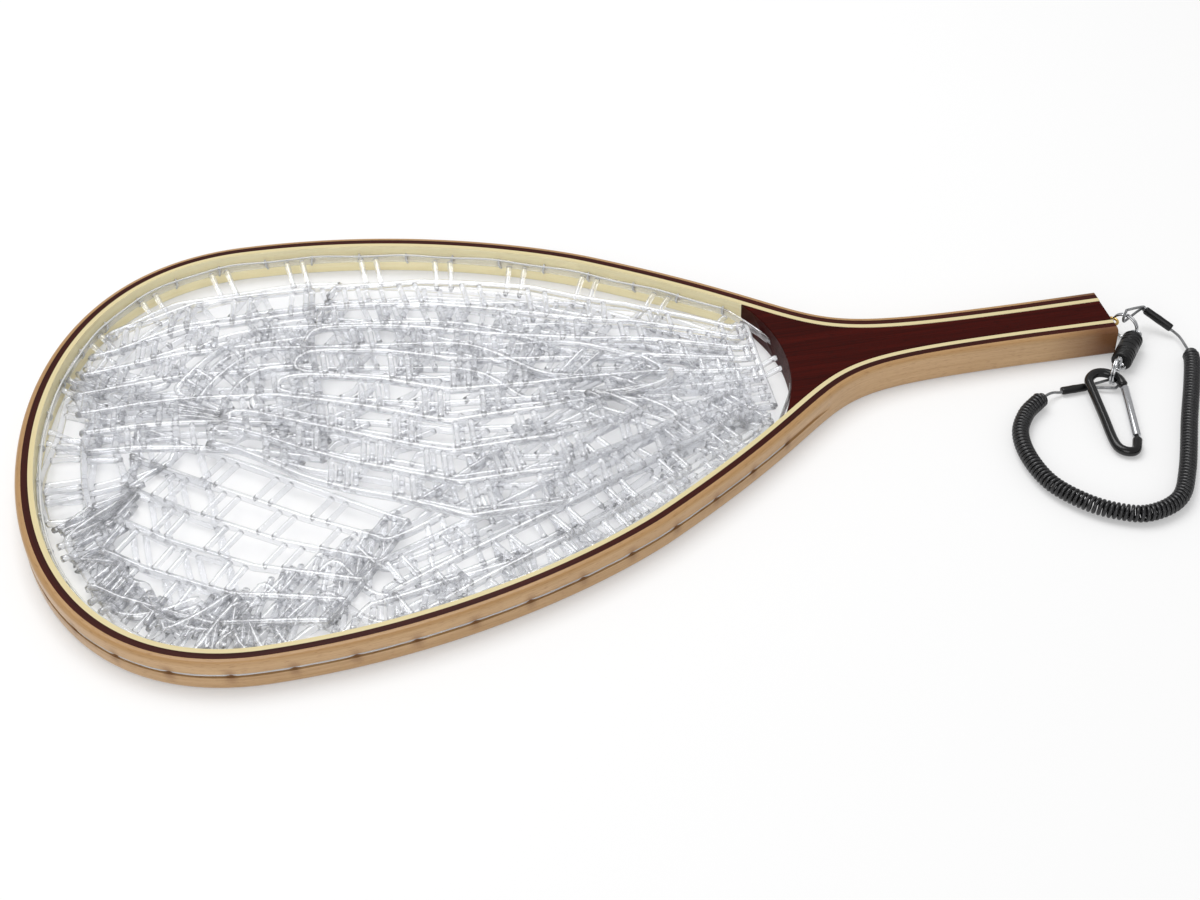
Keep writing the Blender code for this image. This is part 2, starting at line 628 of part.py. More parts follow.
def looped_lead(name, hook, loop_way, loop_up, sleeve_from, sleeve_to, lead, look):
    """Cable from the curly cord through the sleeve, round the hook point and back into the sleeve."""
    hook, loop_way, loop_up = (np.array(v, float) for v in (hook, loop_way, loop_up))
    sleeve_from, sleeve_to = np.array(sleeve_from, float), np.array(sleeve_to, float)
    turn = LOOP_RADIUS
    angles = np.radians(np.linspace(-90, 90, 7))
    bend = [hook + loop_way * (turn * cos(a)) + loop_up * (turn * sin(a)) for a in angles]
    along = (sleeve_to - sleeve_from) / np.linalg.norm(sleeve_to - sleeve_from)
    lane = loop_up - along * loop_up.dot(along)
    lane *= LANE / np.linalg.norm(lane)
    mouth, ferrule = sleeve_from - along * LEAD_STRAIGHT, (sleeve_from + sleeve_to) / 2
    lower = [*lead, sleeve_to + along * LEAD_STRAIGHT - lane, sleeve_to - lane, ferrule - lane,
             sleeve_from - lane, mouth - lane]
    upper = [mouth + lane, sleeve_from + lane, ferrule + lane, ferrule + lane + along * FERRULE_LENGTH * 0.6]
    route = smooth_route([*lower, *bend, *upper], 0.0022)
    return tube(name, route, CABLE, look, 1)


def oval_tube(name, start, end, up, width, height, hole_width, hole_height, look):
    """A straight oval tube: an outline of two round ends, raised along its length, and bored."""
    start, end = Vector(start), Vector(end)
    along = (end - start).normalized()
    wide = Vector(up) - along * Vector(up).dot(along)
    wide.normalize()
    place = Matrix((wide, along.cross(wide), along)).transposed().to_4x4()
    place.translation = (start + end) / 2

    def oval(w, h):
        half = (w - h) / 2
        angles = np.linspace(-pi / 2, pi / 2, 5)
        right = [(half + h / 2 * cos(a), h / 2 * sin(a)) for a in angles]
        return right + [(-x, -y) for x, y in right]

    data = bpy.data.curves.new(name, "CURVE")
    data.dimensions = "2D"
    for ring in (oval(width, height), oval(hole_width, hole_height)):
        spline = data.splines.new("POLY")
        spline.points.add(len(ring) - 1)
        spline.points.foreach_set("co", np.array([(x, y, 0.0, 1.0) for x, y in ring]).ravel())
        spline.use_cyclic_u = True
    data.fill_mode = "BOTH"
    data.extrude = (end - start).length / 2
    obj = bpy.data.objects.new(name, data)
    obj.matrix_world = place
    parts.objects.link(obj)
    return as_mesh(finish(obj, look))


def sleeve_and_ferrule(end_name, start, end, up):
    """The shrunk sleeve over the cable's two lanes, and the crimp that grips them inside it."""
    start, end = Vector(start), Vector(end)
    hollow = SLEEVE_WIDTH - 2 * SLEEVE_WALL, SLEEVE_HEIGHT - 2 * SLEEVE_WALL
    oval_tube(end_name + "_sleeve", start, end, up, SLEEVE_WIDTH, SLEEVE_HEIGHT, *hollow, BLACK_PLASTIC)
    middle = (start + end) / 2
    half = (end - start).normalized() * (FERRULE_LENGTH / 2)
    outside = hollow[0] - 2 * GAP, hollow[1] - 2 * GAP
    inside = 2 * LANE + CABLE + 2 * GAP / 3, CABLE + 2 * GAP / 3
    oval_tube(end_name + "_ferrule", middle - half, middle + half, up, *outside, *inside, STEEL)


UP = Vector((0, 0, 1))
ACROSS = Vector((0, 1, 0))
BUTT_FOOT = Vector((BUTT_X, 0.0, 0.0))
near_sleeve = [BUTT_FOOT + Vector(p) for p in NEAR_SLEEVE]
near_points = [BUTT_FOOT + Vector(p) for p in NEAR_LEAD]
near_hook = UPPER_RING_AT + UP * UPPER_RING_RADIUS
near_way = UPPER_RING_WAY.cross(UP)
looped_lead("near_lead", near_hook, near_way, UP, *near_sleeve, near_points, CORD_GREY)
sleeve_and_ferrule("near", *near_sleeve, UP)

far_sleeve = [LOWER_RING_AT + Vector(p) for p in FAR_SLEEVE]
far_points = [LOWER_RING_AT + Vector(p) for p in FAR_LEAD]
far_drop = LOWER_RING_AT.z - FAR_HOOK_Z
far_chord = (LOWER_RING_RADIUS**2 - far_drop**2)**0.5
far_hook = LOWER_RING_AT - UP * far_drop + LOWER_RING_WAY * (far_chord + GAP)
looped_lead("far_lead", far_hook, (1, 0, 0), ACROSS, *far_sleeve, far_points, CORD_GREY)
sleeve_and_ferrule("far", *far_sleeve, ACROSS)


def curly_cord(name, route, look):
    """One unbroken helix about the route, drawn in to the route over its first and last curl."""
    line = smooth_route(route, 0.0005)
    run = np.r_[0, np.cumsum(np.linalg.norm(np.diff(line, axis=0), axis=1))]
    count = COIL_CURLS * POINTS_PER_CURL
    straight = 1.5 * CABLE
    stations = np.linspace(straight, run[-1] - straight, count + 1)
    spot = np.stack([np.interp(stations, run, line[:, k]) for k in range(3)], axis=1)
    along = np.gradient(spot, axis=0)
    along /= np.linalg.norm(along, axis=1)[:, None]
    across_route = np.stack([-along[:, 1], along[:, 0], np.zeros(count + 1)], axis=1)
    curl = np.linspace(0, COIL_CURLS, count + 1)
    ramp = np.clip(np.minimum(curl, COIL_CURLS - curl), 0, 1)
    swell = COIL_RADIUS * ramp * ramp * (3 - 2 * ramp)
    turn = 2 * pi * curl
    climb = np.outer(swell * np.cos(turn), (0, 0, 1))
    helix = spot + across_route * (swell * np.sin(turn))[:, None] + climb
    points = np.vstack([line[:1], helix, line[-1:]])
    order = np.arange(len(points))
    far_apart = np.abs(np.subtract.outer(order, order)) > POINTS_PER_CURL // 2
    spans = np.linalg.norm(points[:, None] - points[None], axis=2)
    print("least gap of the curly cord to itself:", round((spans[far_apart].min() - CABLE) * 1000, 2), "mm")
    return tube(name, points, CABLE, look, 1)


coil_route = [BUTT_FOOT + Vector((x, y, COIL_Z)) for x, y in COIL_ROUTE]
coil_route += [LOWER_RING_AT + Vector(p) for p in COIL_FAR_END]
curly_cord("lanyard_coil", coil_route, CORD_GREY)

for made in parts.objects:
    if made.type == "MESH":
        made.data.shade_smooth()
        made.data.set_sharp_from_angle(angle=SHARP_ABOVE)
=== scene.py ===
"""Laminated wooden landing net with a clear rubber bag and a coiled tether, lying on a white table."""
import math
import bmesh
import bpy
import numpy as np
from mathutils import Matrix, Vector


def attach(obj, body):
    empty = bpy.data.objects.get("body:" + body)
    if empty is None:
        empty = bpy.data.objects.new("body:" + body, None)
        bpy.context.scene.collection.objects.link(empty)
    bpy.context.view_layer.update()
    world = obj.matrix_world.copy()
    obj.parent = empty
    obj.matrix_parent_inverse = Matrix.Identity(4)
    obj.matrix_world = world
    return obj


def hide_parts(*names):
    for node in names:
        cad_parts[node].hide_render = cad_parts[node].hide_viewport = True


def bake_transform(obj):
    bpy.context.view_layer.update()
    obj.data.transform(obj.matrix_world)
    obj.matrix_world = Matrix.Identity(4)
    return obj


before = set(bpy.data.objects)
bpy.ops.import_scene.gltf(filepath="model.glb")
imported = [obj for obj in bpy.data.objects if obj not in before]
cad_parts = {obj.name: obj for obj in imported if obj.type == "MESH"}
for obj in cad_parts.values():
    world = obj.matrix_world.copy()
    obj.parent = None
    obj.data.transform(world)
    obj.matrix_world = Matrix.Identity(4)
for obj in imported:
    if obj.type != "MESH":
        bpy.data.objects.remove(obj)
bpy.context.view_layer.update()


# The three bent strips of the frame: pale ash outside, walnut in the middle and
# maple inside, glued and sanded flush, then varnished. The ash strip has rounded
# outer edges and a groove round the hoop that the lacing lies in.
frame_height = 0.017
butt_x = 0.060
ash_out, walnut_back, maple_back = 0.0033, -0.0035, -0.0062
hole_z, hole_count, first_hole_x = 0.0090, 38, -0.1385
groove_end_x, groove_fade = -0.108, 0.012
line_points = 1201
tip_at = line_points // 2


def srgb(red, green, blue):
    """The linear colour of an 8-bit screen colour."""
    c = np.array([red, green, blue]) / 255.0
    return tuple(np.where(c <= 0.04045, c / 12.92, ((c + 0.055) / 1.055) ** 2.4))


def bezier(a, b, c, d, count):
    """Cubic curve (1-t)^3 a + 3 (1-t)^2 t b + 3 (1-t) t^2 c + t^3 d."""
    t = np.linspace(0, 1, count)[:, None]
    return (1 - t)**3 * a + 3 * (1 - t)**2 * t * b + 3 * (1 - t) * t**2 * c + t**3 * d


def runs(points):
    """How far along a line each of its points lies: the sum of the steps before it."""
    return np.r_[0, np.cumsum(np.linalg.norm(np.diff(points, axis=0), axis=1))]


def even(points, count, endpoint=True):
    """The line read at evenly spaced runs along it."""
    run = runs(points)
    at = np.linspace(0, run[-1], count, endpoint=endpoint)
    return np.stack([np.interp(at, run, points[:, k]) for k in range(points.shape[1])], axis=1)


def unit(ways):
    """Vectors drawn to length 1 along the last axis."""
    return ways / (np.linalg.norm(ways, axis=-1, keepdims=True) + 1e-12)


def hoop_line(count):
    """Outer face of the walnut strip from the near butt round the tip to the far butt: three cubic bends
    a side, then a straight grip; the near half is the far half with y turned over."""
    slope = math.radians(32.8)
    fall = np.array([math.cos(slope), -math.sin(slope)])
    tip, widest, shoulder = np.array([[-0.525, 0.0], [-0.4066, 0.1670], [-0.2102, 0.1130]])
    neck, butt = np.array([[0.0145, 0.0148], [butt_x, 0.0152]])
    crown = bezier(tip, tip + [0, 0.0857], widest - [0.0816, 0], widest, 160)
    side = bezier(widest, widest + [0.1107, 0], shoulder - fall * 0.0059, shoulder, 160)
    throat = bezier(shoulder, shoulder + fall * 0.1628, neck - [0.1440, 0], neck, 160)
    far = np.vstack([crown, side[1:], throat[1:], butt])
    return even(np.vstack([far[::-1] * [1, -1], far[1:]]), count)


def outward(points):
    """Unit normals of a flat line, to its left: out of the hoop."""
    along = unit(np.gradient(points, axis=0))
    return np.stack([-along[:, 1], along[:, 0]], axis=1)


line = hoop_line(line_points)
line_out = outward(line)
line_run = runs(line)
first_hole = float(np.interp(-first_hole_x, -line[:tip_at + 1, 0], line_run[:tip_at + 1]))
hole_runs = np.linspace(first_hole, line_run[-1] - first_hole, hole_count)
scene = bpy.context.scene


def smooth_object(name, points, faces):
    """An object at the origin, with a smooth-shaded mesh of these points and faces."""
    mesh = bpy.data.meshes.new(name)
    mesh.from_pydata(points.reshape(-1, 3).tolist(), [], faces)
    mesh.update()
    mesh.shade_smooth()
    obj = bpy.data.objects.new(name, mesh)
    scene.collection.objects.link(obj)
    return obj


def cell_quads(ids):
    """The four corners of every cell in a grid of vertex numbers."""
    corners = [ids[..., :-1, :-1], ids[..., :-1, 1:], ids[..., 1:, 1:], ids[..., 1:, :-1]]
    return np.stack(corners, axis=-1).reshape(-1, 4).tolist()


def grid_mesh(name, points, close_across=False, close_along=False, uv=None, ends=False):
    """A mesh over points[i, j]: quads between neighbours, wrapped where closed, with the end rings filled."""
    n, m = points.shape[:2]
    ids = np.arange(n * m).reshape(n, m)
    rows = np.vstack([ids, ids[:1]]) if close_along else ids
    cells = np.hstack([rows, rows[:, :1]]) if close_across else rows
    faces = cell_quads(cells)
    if ends:
        faces += [ids[0, ::-1].tolist(), ids[-1].tolist()]
    obj = smooth_object(name, points, faces)
    if uv is not None:
        corner = np.empty(len(obj.data.loops), np.int32)
        obj.data.loops.foreach_get("vertex_index", corner)
        layer = obj.data.uv_layers.new(name="grain")
        layer.data.foreach_set("uv", uv.reshape(-1, 2)[corner].astype(np.float32).ravel())
    return obj


def add_value(obj, name, values):
    """A float on every vertex, for a material to read."""
    obj.data.attributes.new(name, "FLOAT", "POINT").data.foreach_set("value", values.astype(np.float32).ravel())


def faces_out(obj):
    """Turns the mesh's faces outwards if the volume they enclose comes out negative."""
    shape = bmesh.new()
    shape.from_mesh(obj.data)
    if shape.calc_volume(signed=True) < 0:
        obj.data.flip_normals()
    shape.free()
    return obj


def strip(name, section, groove=None):
    """A section (out, z) carried along the hoop: line + normal * out, raised by z. Groove depths pull the
    marked section points in, more or less along the run."""
    out = np.broadcast_to(section[:, 0], (len(line), len(section))).copy()
    if groove is not None:
        out -= groove
    xy = line[:, None] + line_out[:, None] * out[..., None]
    z = np.broadcast_to(section[:, 1], out.shape)
    uv = np.stack(np.broadcast_arrays(line_run[:, None], runs(section)[None]), axis=-1)
    return faces_out(grid_mesh(name, np.dstack([xy, z]), close_across=True, uv=uv, ends=True))


def feed(tree, target, **sockets):
    """Sets a node's inputs to values or links them to sockets; i3 stands for the input numbered 3."""
    for key, value in sockets.items():
        socket = target.inputs[int(key[1:]) if key[1:].isdigit() else key.replace("_", " ")]
        if isinstance(value, bpy.types.NodeSocket):
            tree.links.new(value, socket)
        else:
            socket.default_value = (*value, 1.0) if socket.type == "RGBA" and len(value) == 3 else value


def new_material(name, **sockets):
    """A Principled material with its sockets fed; returns it, its tree and its shader."""
    made = bpy.data.materials.new(name)
    made.use_nodes = True
    shader = made.node_tree.nodes["Principled BSDF"]
    feed(made.node_tree, shader, **sockets)
    return made, made.node_tree, shader


def node(tree, kind, **inputs):
    """A node of this kind with its inputs fed; names that begin with set_ are its settings."""
    made = tree.nodes.new("ShaderNode" + kind)
    for key in [key for key in inputs if key.startswith("set_")]:
        setattr(made, key[4:], inputs.pop(key))
    feed(tree, made, **inputs)
    return made


def maths(tree, operation, a, b, clamp=False):
    """The value of a Math node."""
    return node(tree, "Math", i0=a, i1=b, set_operation=operation, set_use_clamp=clamp).outputs[0]


def mixed(tree, share, a, b, kind="MIX"):
    """The colour of a Mix node between two colours."""
    return node(tree, "Mix", set_data_type="RGBA", set_blend_type=kind, i0=share, i6=a, i7=b).outputs[2]


def ranged(tree, value, low, high, start=0.0, end=1.0):
    """The value of a Map Range node: low to high becomes start to end, and is held there."""
    return node(tree, "MapRange", Value=value, From_Min=low, From_Max=high, To_Min=start, To_Max=end).outputs[0]


def noise(tree, place, scale, detail, distortion=0.0):
    """The value of a Noise node at a place that is first stretched, if scale has three numbers."""
    if isinstance(scale, tuple):
        place = node(tree, "VectorMath", i0=place, i1=scale, set_operation="MULTIPLY").outputs[0]
        scale = 1.0
    return node(tree, "TexNoise", Vector=place, Scale=scale, Detail=detail, Distortion=distortion).outputs[0]


def group(name, inputs, outputs):
    """An empty shader node group with named sockets, and its input and output nodes."""
    tree = bpy.data.node_groups.new(name, "ShaderNodeTree")
    kinds = {"v": "NodeSocketVector", "c": "NodeSocketColor", "f": "NodeSocketFloat"}
    for way, sockets in (("INPUT", inputs), ("OUTPUT", outputs)):
        for key, kind in sockets.items():
            tree.interface.new_socket(name=key, in_out=way, socket_type=kinds[kind])
    return tree, tree.nodes.new("NodeGroupInput").outputs, tree.nodes.new("NodeGroupOutput")


def use_group(tree, made, **inputs):
    """The group placed in a material, its inputs set or linked; returns its outputs."""
    placed = tree.nodes.new("ShaderNodeGroup")
    placed.node_tree = made
    feed(tree, placed, **inputs)
    return placed.outputs


def textured(tree, shader, look, strength, distance, **sockets):
    """Feeds a shader a group's roughness, its height as a bump, and these other sockets."""
    bump = node(tree, "Bump", Strength=strength, Distance=distance, Height=look["Height"])
    feed(tree, shader, Roughness=look["Rough"], Normal=bump.outputs[0], **sockets)


def make_grain():
    """Wood grain: long soft bands, finer fibres and short dark pores, all noise stretched along the piece."""
    tree, given, result = group("wood_grain", {"Place": "v", "Pale": "c", "Deep": "c", "Pore": "c", "Bands": "f",
                                               "Fibres": "f", "Pores": "f"},
                                {"Colour": "c", "Height": "f", "Rough": "f"})
    bands = noise(tree, given["Place"], (5.0, 260.0, 260.0), 3.0, 0.6)
    fibres = noise(tree, given["Place"], (28.0, 1900.0, 1900.0), 4.0)
    flecks = noise(tree, given["Place"], (210.0, 2600.0, 2600.0), 1.0)
    wide = maths(tree, "MULTIPLY", ranged(tree, bands, 0.34, 0.68), given["Bands"])
    thin = maths(tree, "MULTIPLY", ranged(tree, fibres, 0.36, 0.66), given["Fibres"])
    both = maths(tree, "ADD", wide, thin, clamp=True)
    pore = maths(tree, "MULTIPLY", ranged(tree, flecks, 0.60, 0.70), given["Pores"])
    tone = mixed(tree, pore, mixed(tree, both, given["Pale"], given["Deep"]), given["Pore"])
    feed(tree, result, Colour=tone, Height=maths(tree, "ADD", both, pore), Rough=ranged(tree, both, 0, 1, 0.30, 0.42))
    return tree


wood_grain = make_grain()


def varnished(name, pale, deep, pore, bands, fibres, pores, along_uv=True, marks=None, coat=0.15, shine=0.25,
              upper=(1.0, 1.0, 1.0)):
    """Varnished wood: the grain group for colour, bump and roughness under a thin coat; marks darken it, and on the
    ash so does painted shade towards the butt; faces that look up get painted shade from the upper tone."""
    made, tree, shader = new_material(name, Coat_Weight=coat, Coat_Roughness=0.12, Specular_IOR_Level=shine)
    spot = node(tree, "UVMap", set_uv_map="grain") if along_uv else node(tree, "TexCoord")
    grain = use_group(tree, wood_grain, Place=spot.outputs["UV" if along_uv else "Object"], Pale=srgb(*pale),
                      Deep=srgb(*deep), Pore=srgb(*pore), Bands=bands, Fibres=fibres, Pores=pores)
    colour = grain["Colour"]
    if marks:
        mark_and_shade = node(tree, "Attribute", set_attribute_name="mark_and_shade")
        colour = mixed(tree, mark_and_shade.outputs["Fac"], colour, srgb(*marks))
    # Painted shade: faces that look up are multiplied by the upper tone, darker and warmer than the sides.
    facing = node(tree, "SeparateXYZ", i0=node(tree, "TexCoord").outputs["Normal"])
    top_shaded_colour = mixed(tree, ranged(tree, facing.outputs["Z"], 0.25, 0.85), colour, upper, "MULTIPLY")
    textured(tree, shader, grain, 0.25, 0.0002, Base_Color=top_shaded_colour)
    return made


def fit(piece, look, stands_for=None, body="frame"):
    """Gives a piece its look, says which body it rides on, and hides the CAD node it stands for."""
    piece.data.materials.append(look)
    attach(piece, body)
    if stands_for:
        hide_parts(stands_for)


def eased_ends(radius, length, rounding, steps):
    """The two rounded corners of a profile (radius, height): a quarter turn at its foot and one at its head."""
    a = np.linspace(0, np.pi / 2, steps)
    foot = np.stack([radius - rounding + rounding * np.sin(a), rounding * (1 - np.cos(a))], axis=1)
    head = np.stack([radius - rounding + rounding * np.cos(a), length - rounding * (1 - np.sin(a))], axis=1)
    return foot, head


def hump(distance, width):
    """A smooth hump, 1 at no distance: exp(-(distance / width)^2)."""
    return np.exp(-(distance / width)**2)


# The upper tones are painted shade on the tops of the ash and maple; the ash's marks colour also paints shade towards
# the butt.
ash = varnished("ash", (204, 170, 130), (180, 144, 102), (146, 106, 68), 0.55, 0.45, 0.5, marks=(106, 62, 34),
                upper=(0.74, 0.67, 0.54))
walnut = varnished("walnut", (64, 19, 10), (44, 12, 7), (26, 7, 5), 0.6, 0.5, 0.5, coat=0.03, shine=0.08)
maple = varnished("maple", (255, 245, 206), (246, 232, 181), (228, 207, 155), 0.5, 0.4, 0.25, marks=(150, 120, 84),
                  upper=(0.68, 0.65, 0.57))

ash_round, groove_half, groove_depth = 0.0024, 0.0012, 0.0015
lips = np.array([-1.0, -0.86, -0.6, -0.3, 0.0, 0.3, 0.6, 0.86, 1.0])
ash_foot, ash_head = eased_ends(ash_out, frame_height, ash_round, 9)
ash_lips = np.stack([np.full_like(lips, ash_out), hole_z + groove_half * lips], axis=1)
ash_section = np.vstack([[[0.0, 0.0]], ash_foot, ash_lips, ash_head, [[0.0, frame_height]]])
lips_from = 1 + len(ash_foot)
in_groove = np.zeros(len(ash_section))
in_groove[lips_from:lips_from + len(lips)] = np.sqrt(np.clip(1 - lips**2, 0, 1))
groove_run = np.clip((groove_end_x - line[:, 0]) / groove_fade, 0, 1)
outer_strip = strip("outer_strip", ash_section, groove_depth * groove_run[:, None] * in_groove)

notch_long, notch_high, scorch_share = 0.0030, 0.0016, 0.35
# Where painted shade begins on the ash towards the butt, how far it grows and how strong it gets.
shade_from, shade_over, shade_share = 0.018, 0.034, 0.85
outer_face = ash_section[:, 0] > 0.002
from_hole = np.abs(line_run[:, None] - hole_runs[None]).min(axis=1)
near_groove = hump(ash_section[:, 1] - hole_z, notch_high) * outer_face
notch = hump(from_hole, notch_long) * groove_run
scorch = scorch_share * groove_run * (0.5 + 0.5 * np.sin(line_run * 91) * np.sin(line_run * 37 + 1))
groove_marks = np.maximum(notch, scorch)[:, None] * near_groove
# Painted shade: towards the butt the ash takes the marks colour more and more, standing in for the shade on its
# rounded end. It shares one attribute with the real groove marks.
butt_painted_shade = shade_share * np.clip((line[:, 0] - shade_from) / shade_over, 0, 1)**1.3
add_value(outer_strip, "mark_and_shade", np.clip(np.maximum(groove_marks, butt_painted_shade[:, None]), 0, 1))

middle_section = np.array([[walnut_back, 0], [0, 0], [0, frame_height], [walnut_back, frame_height]])
middle_strip = strip("middle_strip", middle_section)

hole_mark_long, hole_mark_high = 0.0013, 0.0012
inner_z = np.r_[0, np.linspace(0.0070, 0.0110, 9), frame_height]
inner_section = np.vstack([[[walnut_back, frame_height], [walnut_back, 0]],
                           np.stack([np.full_like(inner_z, maple_back), inner_z], axis=1)])
inner_face = inner_section[:, 0] < -0.005
inner_strip = strip("inner_strip", inner_section)
hole_marks = hump(from_hole[:, None], hole_mark_long) * hump(inner_section[:, 1] - hole_z, hole_mark_high)
add_value(inner_strip, "mark_and_shade", hole_marks * inner_face)

for piece, look, finish, stands_for in ((outer_strip, ash, "ash", "outer_lamination"),
                                        (middle_strip, walnut, "walnut", "middle_lamination"),
                                        (inner_strip, maple, "maple", "inner_lamination")):
    piece.data.set_sharp_from_angle(angle=math.radians(40))
    fit(piece, look, stands_for)


# The handle's core: one dark mahogany block between the legs, hollowed at its
# nose where the bag begins, and varnished like the strips.
nose_x, nose_depth, core_edge = -0.131, 0.0125, 0.0007


def core_grid(count_along, count_across):
    """Points (t, s): s runs across between the two legs at the same run t, and the nose bows by
    depth * (1 - s^2) * (1 - t)^2 towards the butt."""
    face = (line + line_out * maple_back)[tip_at:]
    far = even(face[line[tip_at:, 0] > nose_x], count_along)
    t = np.linspace(0, 1, count_along)[:, None]
    s = np.linspace(-1, 1, count_across)[None]
    return far[:, :1] + nose_depth * (1 - s**2) * (1 - t)**2, far[:, 1:] * s


core_x, core_y = core_grid(90, 33)
core_loop = np.dstack([np.hstack([core_x, core_x[:, ::-1]]), np.hstack([core_y, core_y[:, ::-1]]),
                       np.hstack([np.full_like(core_x, frame_height), np.zeros_like(core_x)])])
core = faces_out(grid_mesh("core", core_loop, close_across=True, ends=True))
rounding = core.modifiers.new("sanded_edges", "BEVEL")
rounding.width = core_edge
rounding.segments = 2
rounding.limit_method = "ANGLE"
rounding.angle_limit = math.radians(50)
core.data.set_sharp_from_angle(angle=math.radians(40))
mahogany = varnished("mahogany", (68, 14, 8), (44, 7, 4), (22, 4, 2), 0.6, 0.5, 0.6, along_uv=False, coat=0.02,
                     shine=0.03)
fit(core, mahogany, "handle_core")


# The bag's moulded rim band and its lacing: a clear rubber strap held inside the
# hoop by a clear line, which passes through each hole, over the strap and back.
def show_mix(tree, share, first, second):
    """Sends a mix of two shaders to the material's output."""
    both = node(tree, "MixShader", i0=share, i1=first.outputs[0], i2=second.outputs[0])
    feed(tree, tree.nodes["Material Output"], Surface=both.outputs[0])


def clear_rubber_material(name, tint, rough, clarity):
    """Clear moulded rubber: a glossy transmitting body with a faint tint, and part of the light let through
    its shadow."""
    made, tree, shader = new_material(name, Base_Color=tint, Roughness=rough, IOR=1.33, Transmission_Weight=clarity,
                                      Specular_IOR_Level=0.5, Coat_Weight=1.0, Coat_Roughness=0.03, Coat_IOR=1.7)
    clear = node(tree, "BsdfTransparent", Color=(0.70, 0.705, 0.72))
    path = node(tree, "LightPath")
    show_mix(tree, path.outputs["Is Shadow Ray"], shader, clear)
    return made


clear_rubber = clear_rubber_material("clear_rubber", (0.945, 0.952, 0.972), 0.04, 0.88)
clear_band = clear_rubber_material("clear_band", (0.94, 0.945, 0.955), 0.06, 0.88)
band_thick, band_low, band_high, band_gap = 0.0014, 0.0068, 0.0112, 0.0003
band_count, band_sides = 480, 16
nose_half, nose_margin, nose_gap = 0.0385, 0.004, 0.0006


def rim_loop(inset, count):
    """The closed loop inside the hoop at this inset: along the maple's face, and across the hollow nose."""
    side = (line + line_out * (maple_back - inset))[line[:, 0] < nose_x - nose_margin]
    y = np.linspace(nose_half - nose_margin, -nose_half + nose_margin, 40)
    nose = np.stack([nose_x + nose_depth * (1 - (y / nose_half)**2) - inset - nose_gap, y], axis=1)
    return even(np.vstack([side, nose, side[:1]]), count, endpoint=False)


def smooth_ring(values, reach):
    """A closed run of points averaged with its neighbours on both sides, this many times."""
    for _ in range(reach):
        values = (np.roll(values, 1, axis=0) + 2 * values + np.roll(values, -1, axis=0)) / 4
    return values


def around(count):
    """Angles round a full turn, the last one step short of the first."""
    return np.linspace(0, 2 * np.pi, count, endpoint=False)


def boxy(wave):
    """A sine or cosine filled out towards a box: sign(v) * sqrt(|v|)."""
    return np.sign(wave) * np.abs(wave)**0.5


band_ring = smooth_ring(rim_loop(band_gap + band_thick / 2, band_count), 6)
band_way = unit(np.roll(band_ring, -1, axis=0) - np.roll(band_ring, 1, axis=0))
band_side = np.stack([-band_way[:, 1], band_way[:, 0]], axis=1)
turn = around(band_sides)
band_out = band_thick / 2 * boxy(np.cos(turn))
band_z = (band_low + band_high) / 2 + (band_high - band_low) / 2 * boxy(np.sin(turn))
band_points = np.dstack([band_ring[:, None] + band_side[:, None] * band_out[None, :, None],
                         np.broadcast_to(band_z, (band_count, band_sides))])
band = faces_out(grid_mesh("rim_band", band_points, close_across=True, close_along=True))
fit(band, clear_band, "bag_band")


def sweep(name, paths, radius, sides=8, hint=(0.0, 0.0, 1.0)):
    """Round tubes about paths[k, i]: ring points = path + radius * (cos a * n + sin a * b), where n is the hint
    made square to the path; each tube's ends are filled."""
    along = unit(np.gradient(paths, axis=1))
    hint = np.broadcast_to(hint, paths.shape)
    n = unit(hint - along * (hint * along).sum(axis=2)[..., None])
    b = np.cross(along, n)
    a = around(sides)
    radius = np.broadcast_to(radius, paths.shape[:2])[..., None, None]
    rings = paths[:, :, None] + radius * (np.cos(a)[:, None] * n[:, :, None] + np.sin(a)[:, None] * b[:, :, None])
    ids = np.arange(rings.size // 3).reshape(rings.shape[:3])
    wrap = np.concatenate([ids, ids[:, :, :1]], axis=2)
    faces = cell_quads(wrap) + ids[:, 0, ::-1].tolist() + ids[:, -1].tolist()
    return faces_out(smooth_object(name, rings, faces))


def at_run(run, out, z):
    """Points at these runs along the hoop, this far out of its line and this high."""
    flat = [np.interp(run, line_run, line[:, k]) + np.interp(run, line_run, line_out[:, k]) * out for k in (0, 1)]
    return np.stack(flat + [np.broadcast_to(z, np.shape(run))], axis=-1)


lace_radius, stitch_radius = 0.00055, 0.0006
lace_sink, lace_dip, dip_long, lace_inset, lace_lift = 0.0009, 0.0008, 0.0016, 0.0022, 0.0006
stitch_gap, stitch_bulge, stitch_lift, stitch_drop, stitch_points = 0.0004, 0.0021, 0.0007, 0.0020, 13
lace_run = np.linspace(hole_runs[0], hole_runs[-1], 1500)
at_hole = hump(np.abs(lace_run[:, None] - hole_runs[None]).min(axis=1), dip_long)
groove_lace = at_run(lace_run, ash_out - lace_sink - lace_dip * at_hole, hole_z + 0.0001 * np.sin(lace_run * 300))
top_lace = at_run(lace_run, maple_back - lace_inset - 0.0002 * np.sin(lace_run * 55),
                  band_high + lace_lift + 0.0005 * np.sin(lace_run * 120))
lacing = sweep("lacing_line", np.stack([groove_lace, top_lace]), lace_radius)
stitch = np.linspace(0, 1, stitch_points)
stitch_out = maple_back - stitch_gap - stitch_bulge * np.sin(np.pi * np.clip(stitch * 1.15, 0, 1))**0.7
stitch_z = band_high + stitch_lift - (band_high - band_low + stitch_drop) * stitch
stitch_lean = 0.0012 * np.sin(np.arange(hole_count) * 2.4)
stitch_runs = hole_runs[:, None] + stitch_lean[:, None] * stitch[None]
stitch_paths = at_run(stitch_runs, stitch_out[None], stitch_z[None])
stitches = sweep("stitches", stitch_paths, stitch_radius, hint=(-line_out[0, 1], line_out[0, 0], 0.0))
clear_line = new_material("clear_line", Base_Color=(0.90, 0.91, 0.92), Roughness=0.22, IOR=1.45,
                          Transmission_Weight=0.45)[0]
fit(lacing, clear_line, "lacing")
fit(stitches, clear_line)


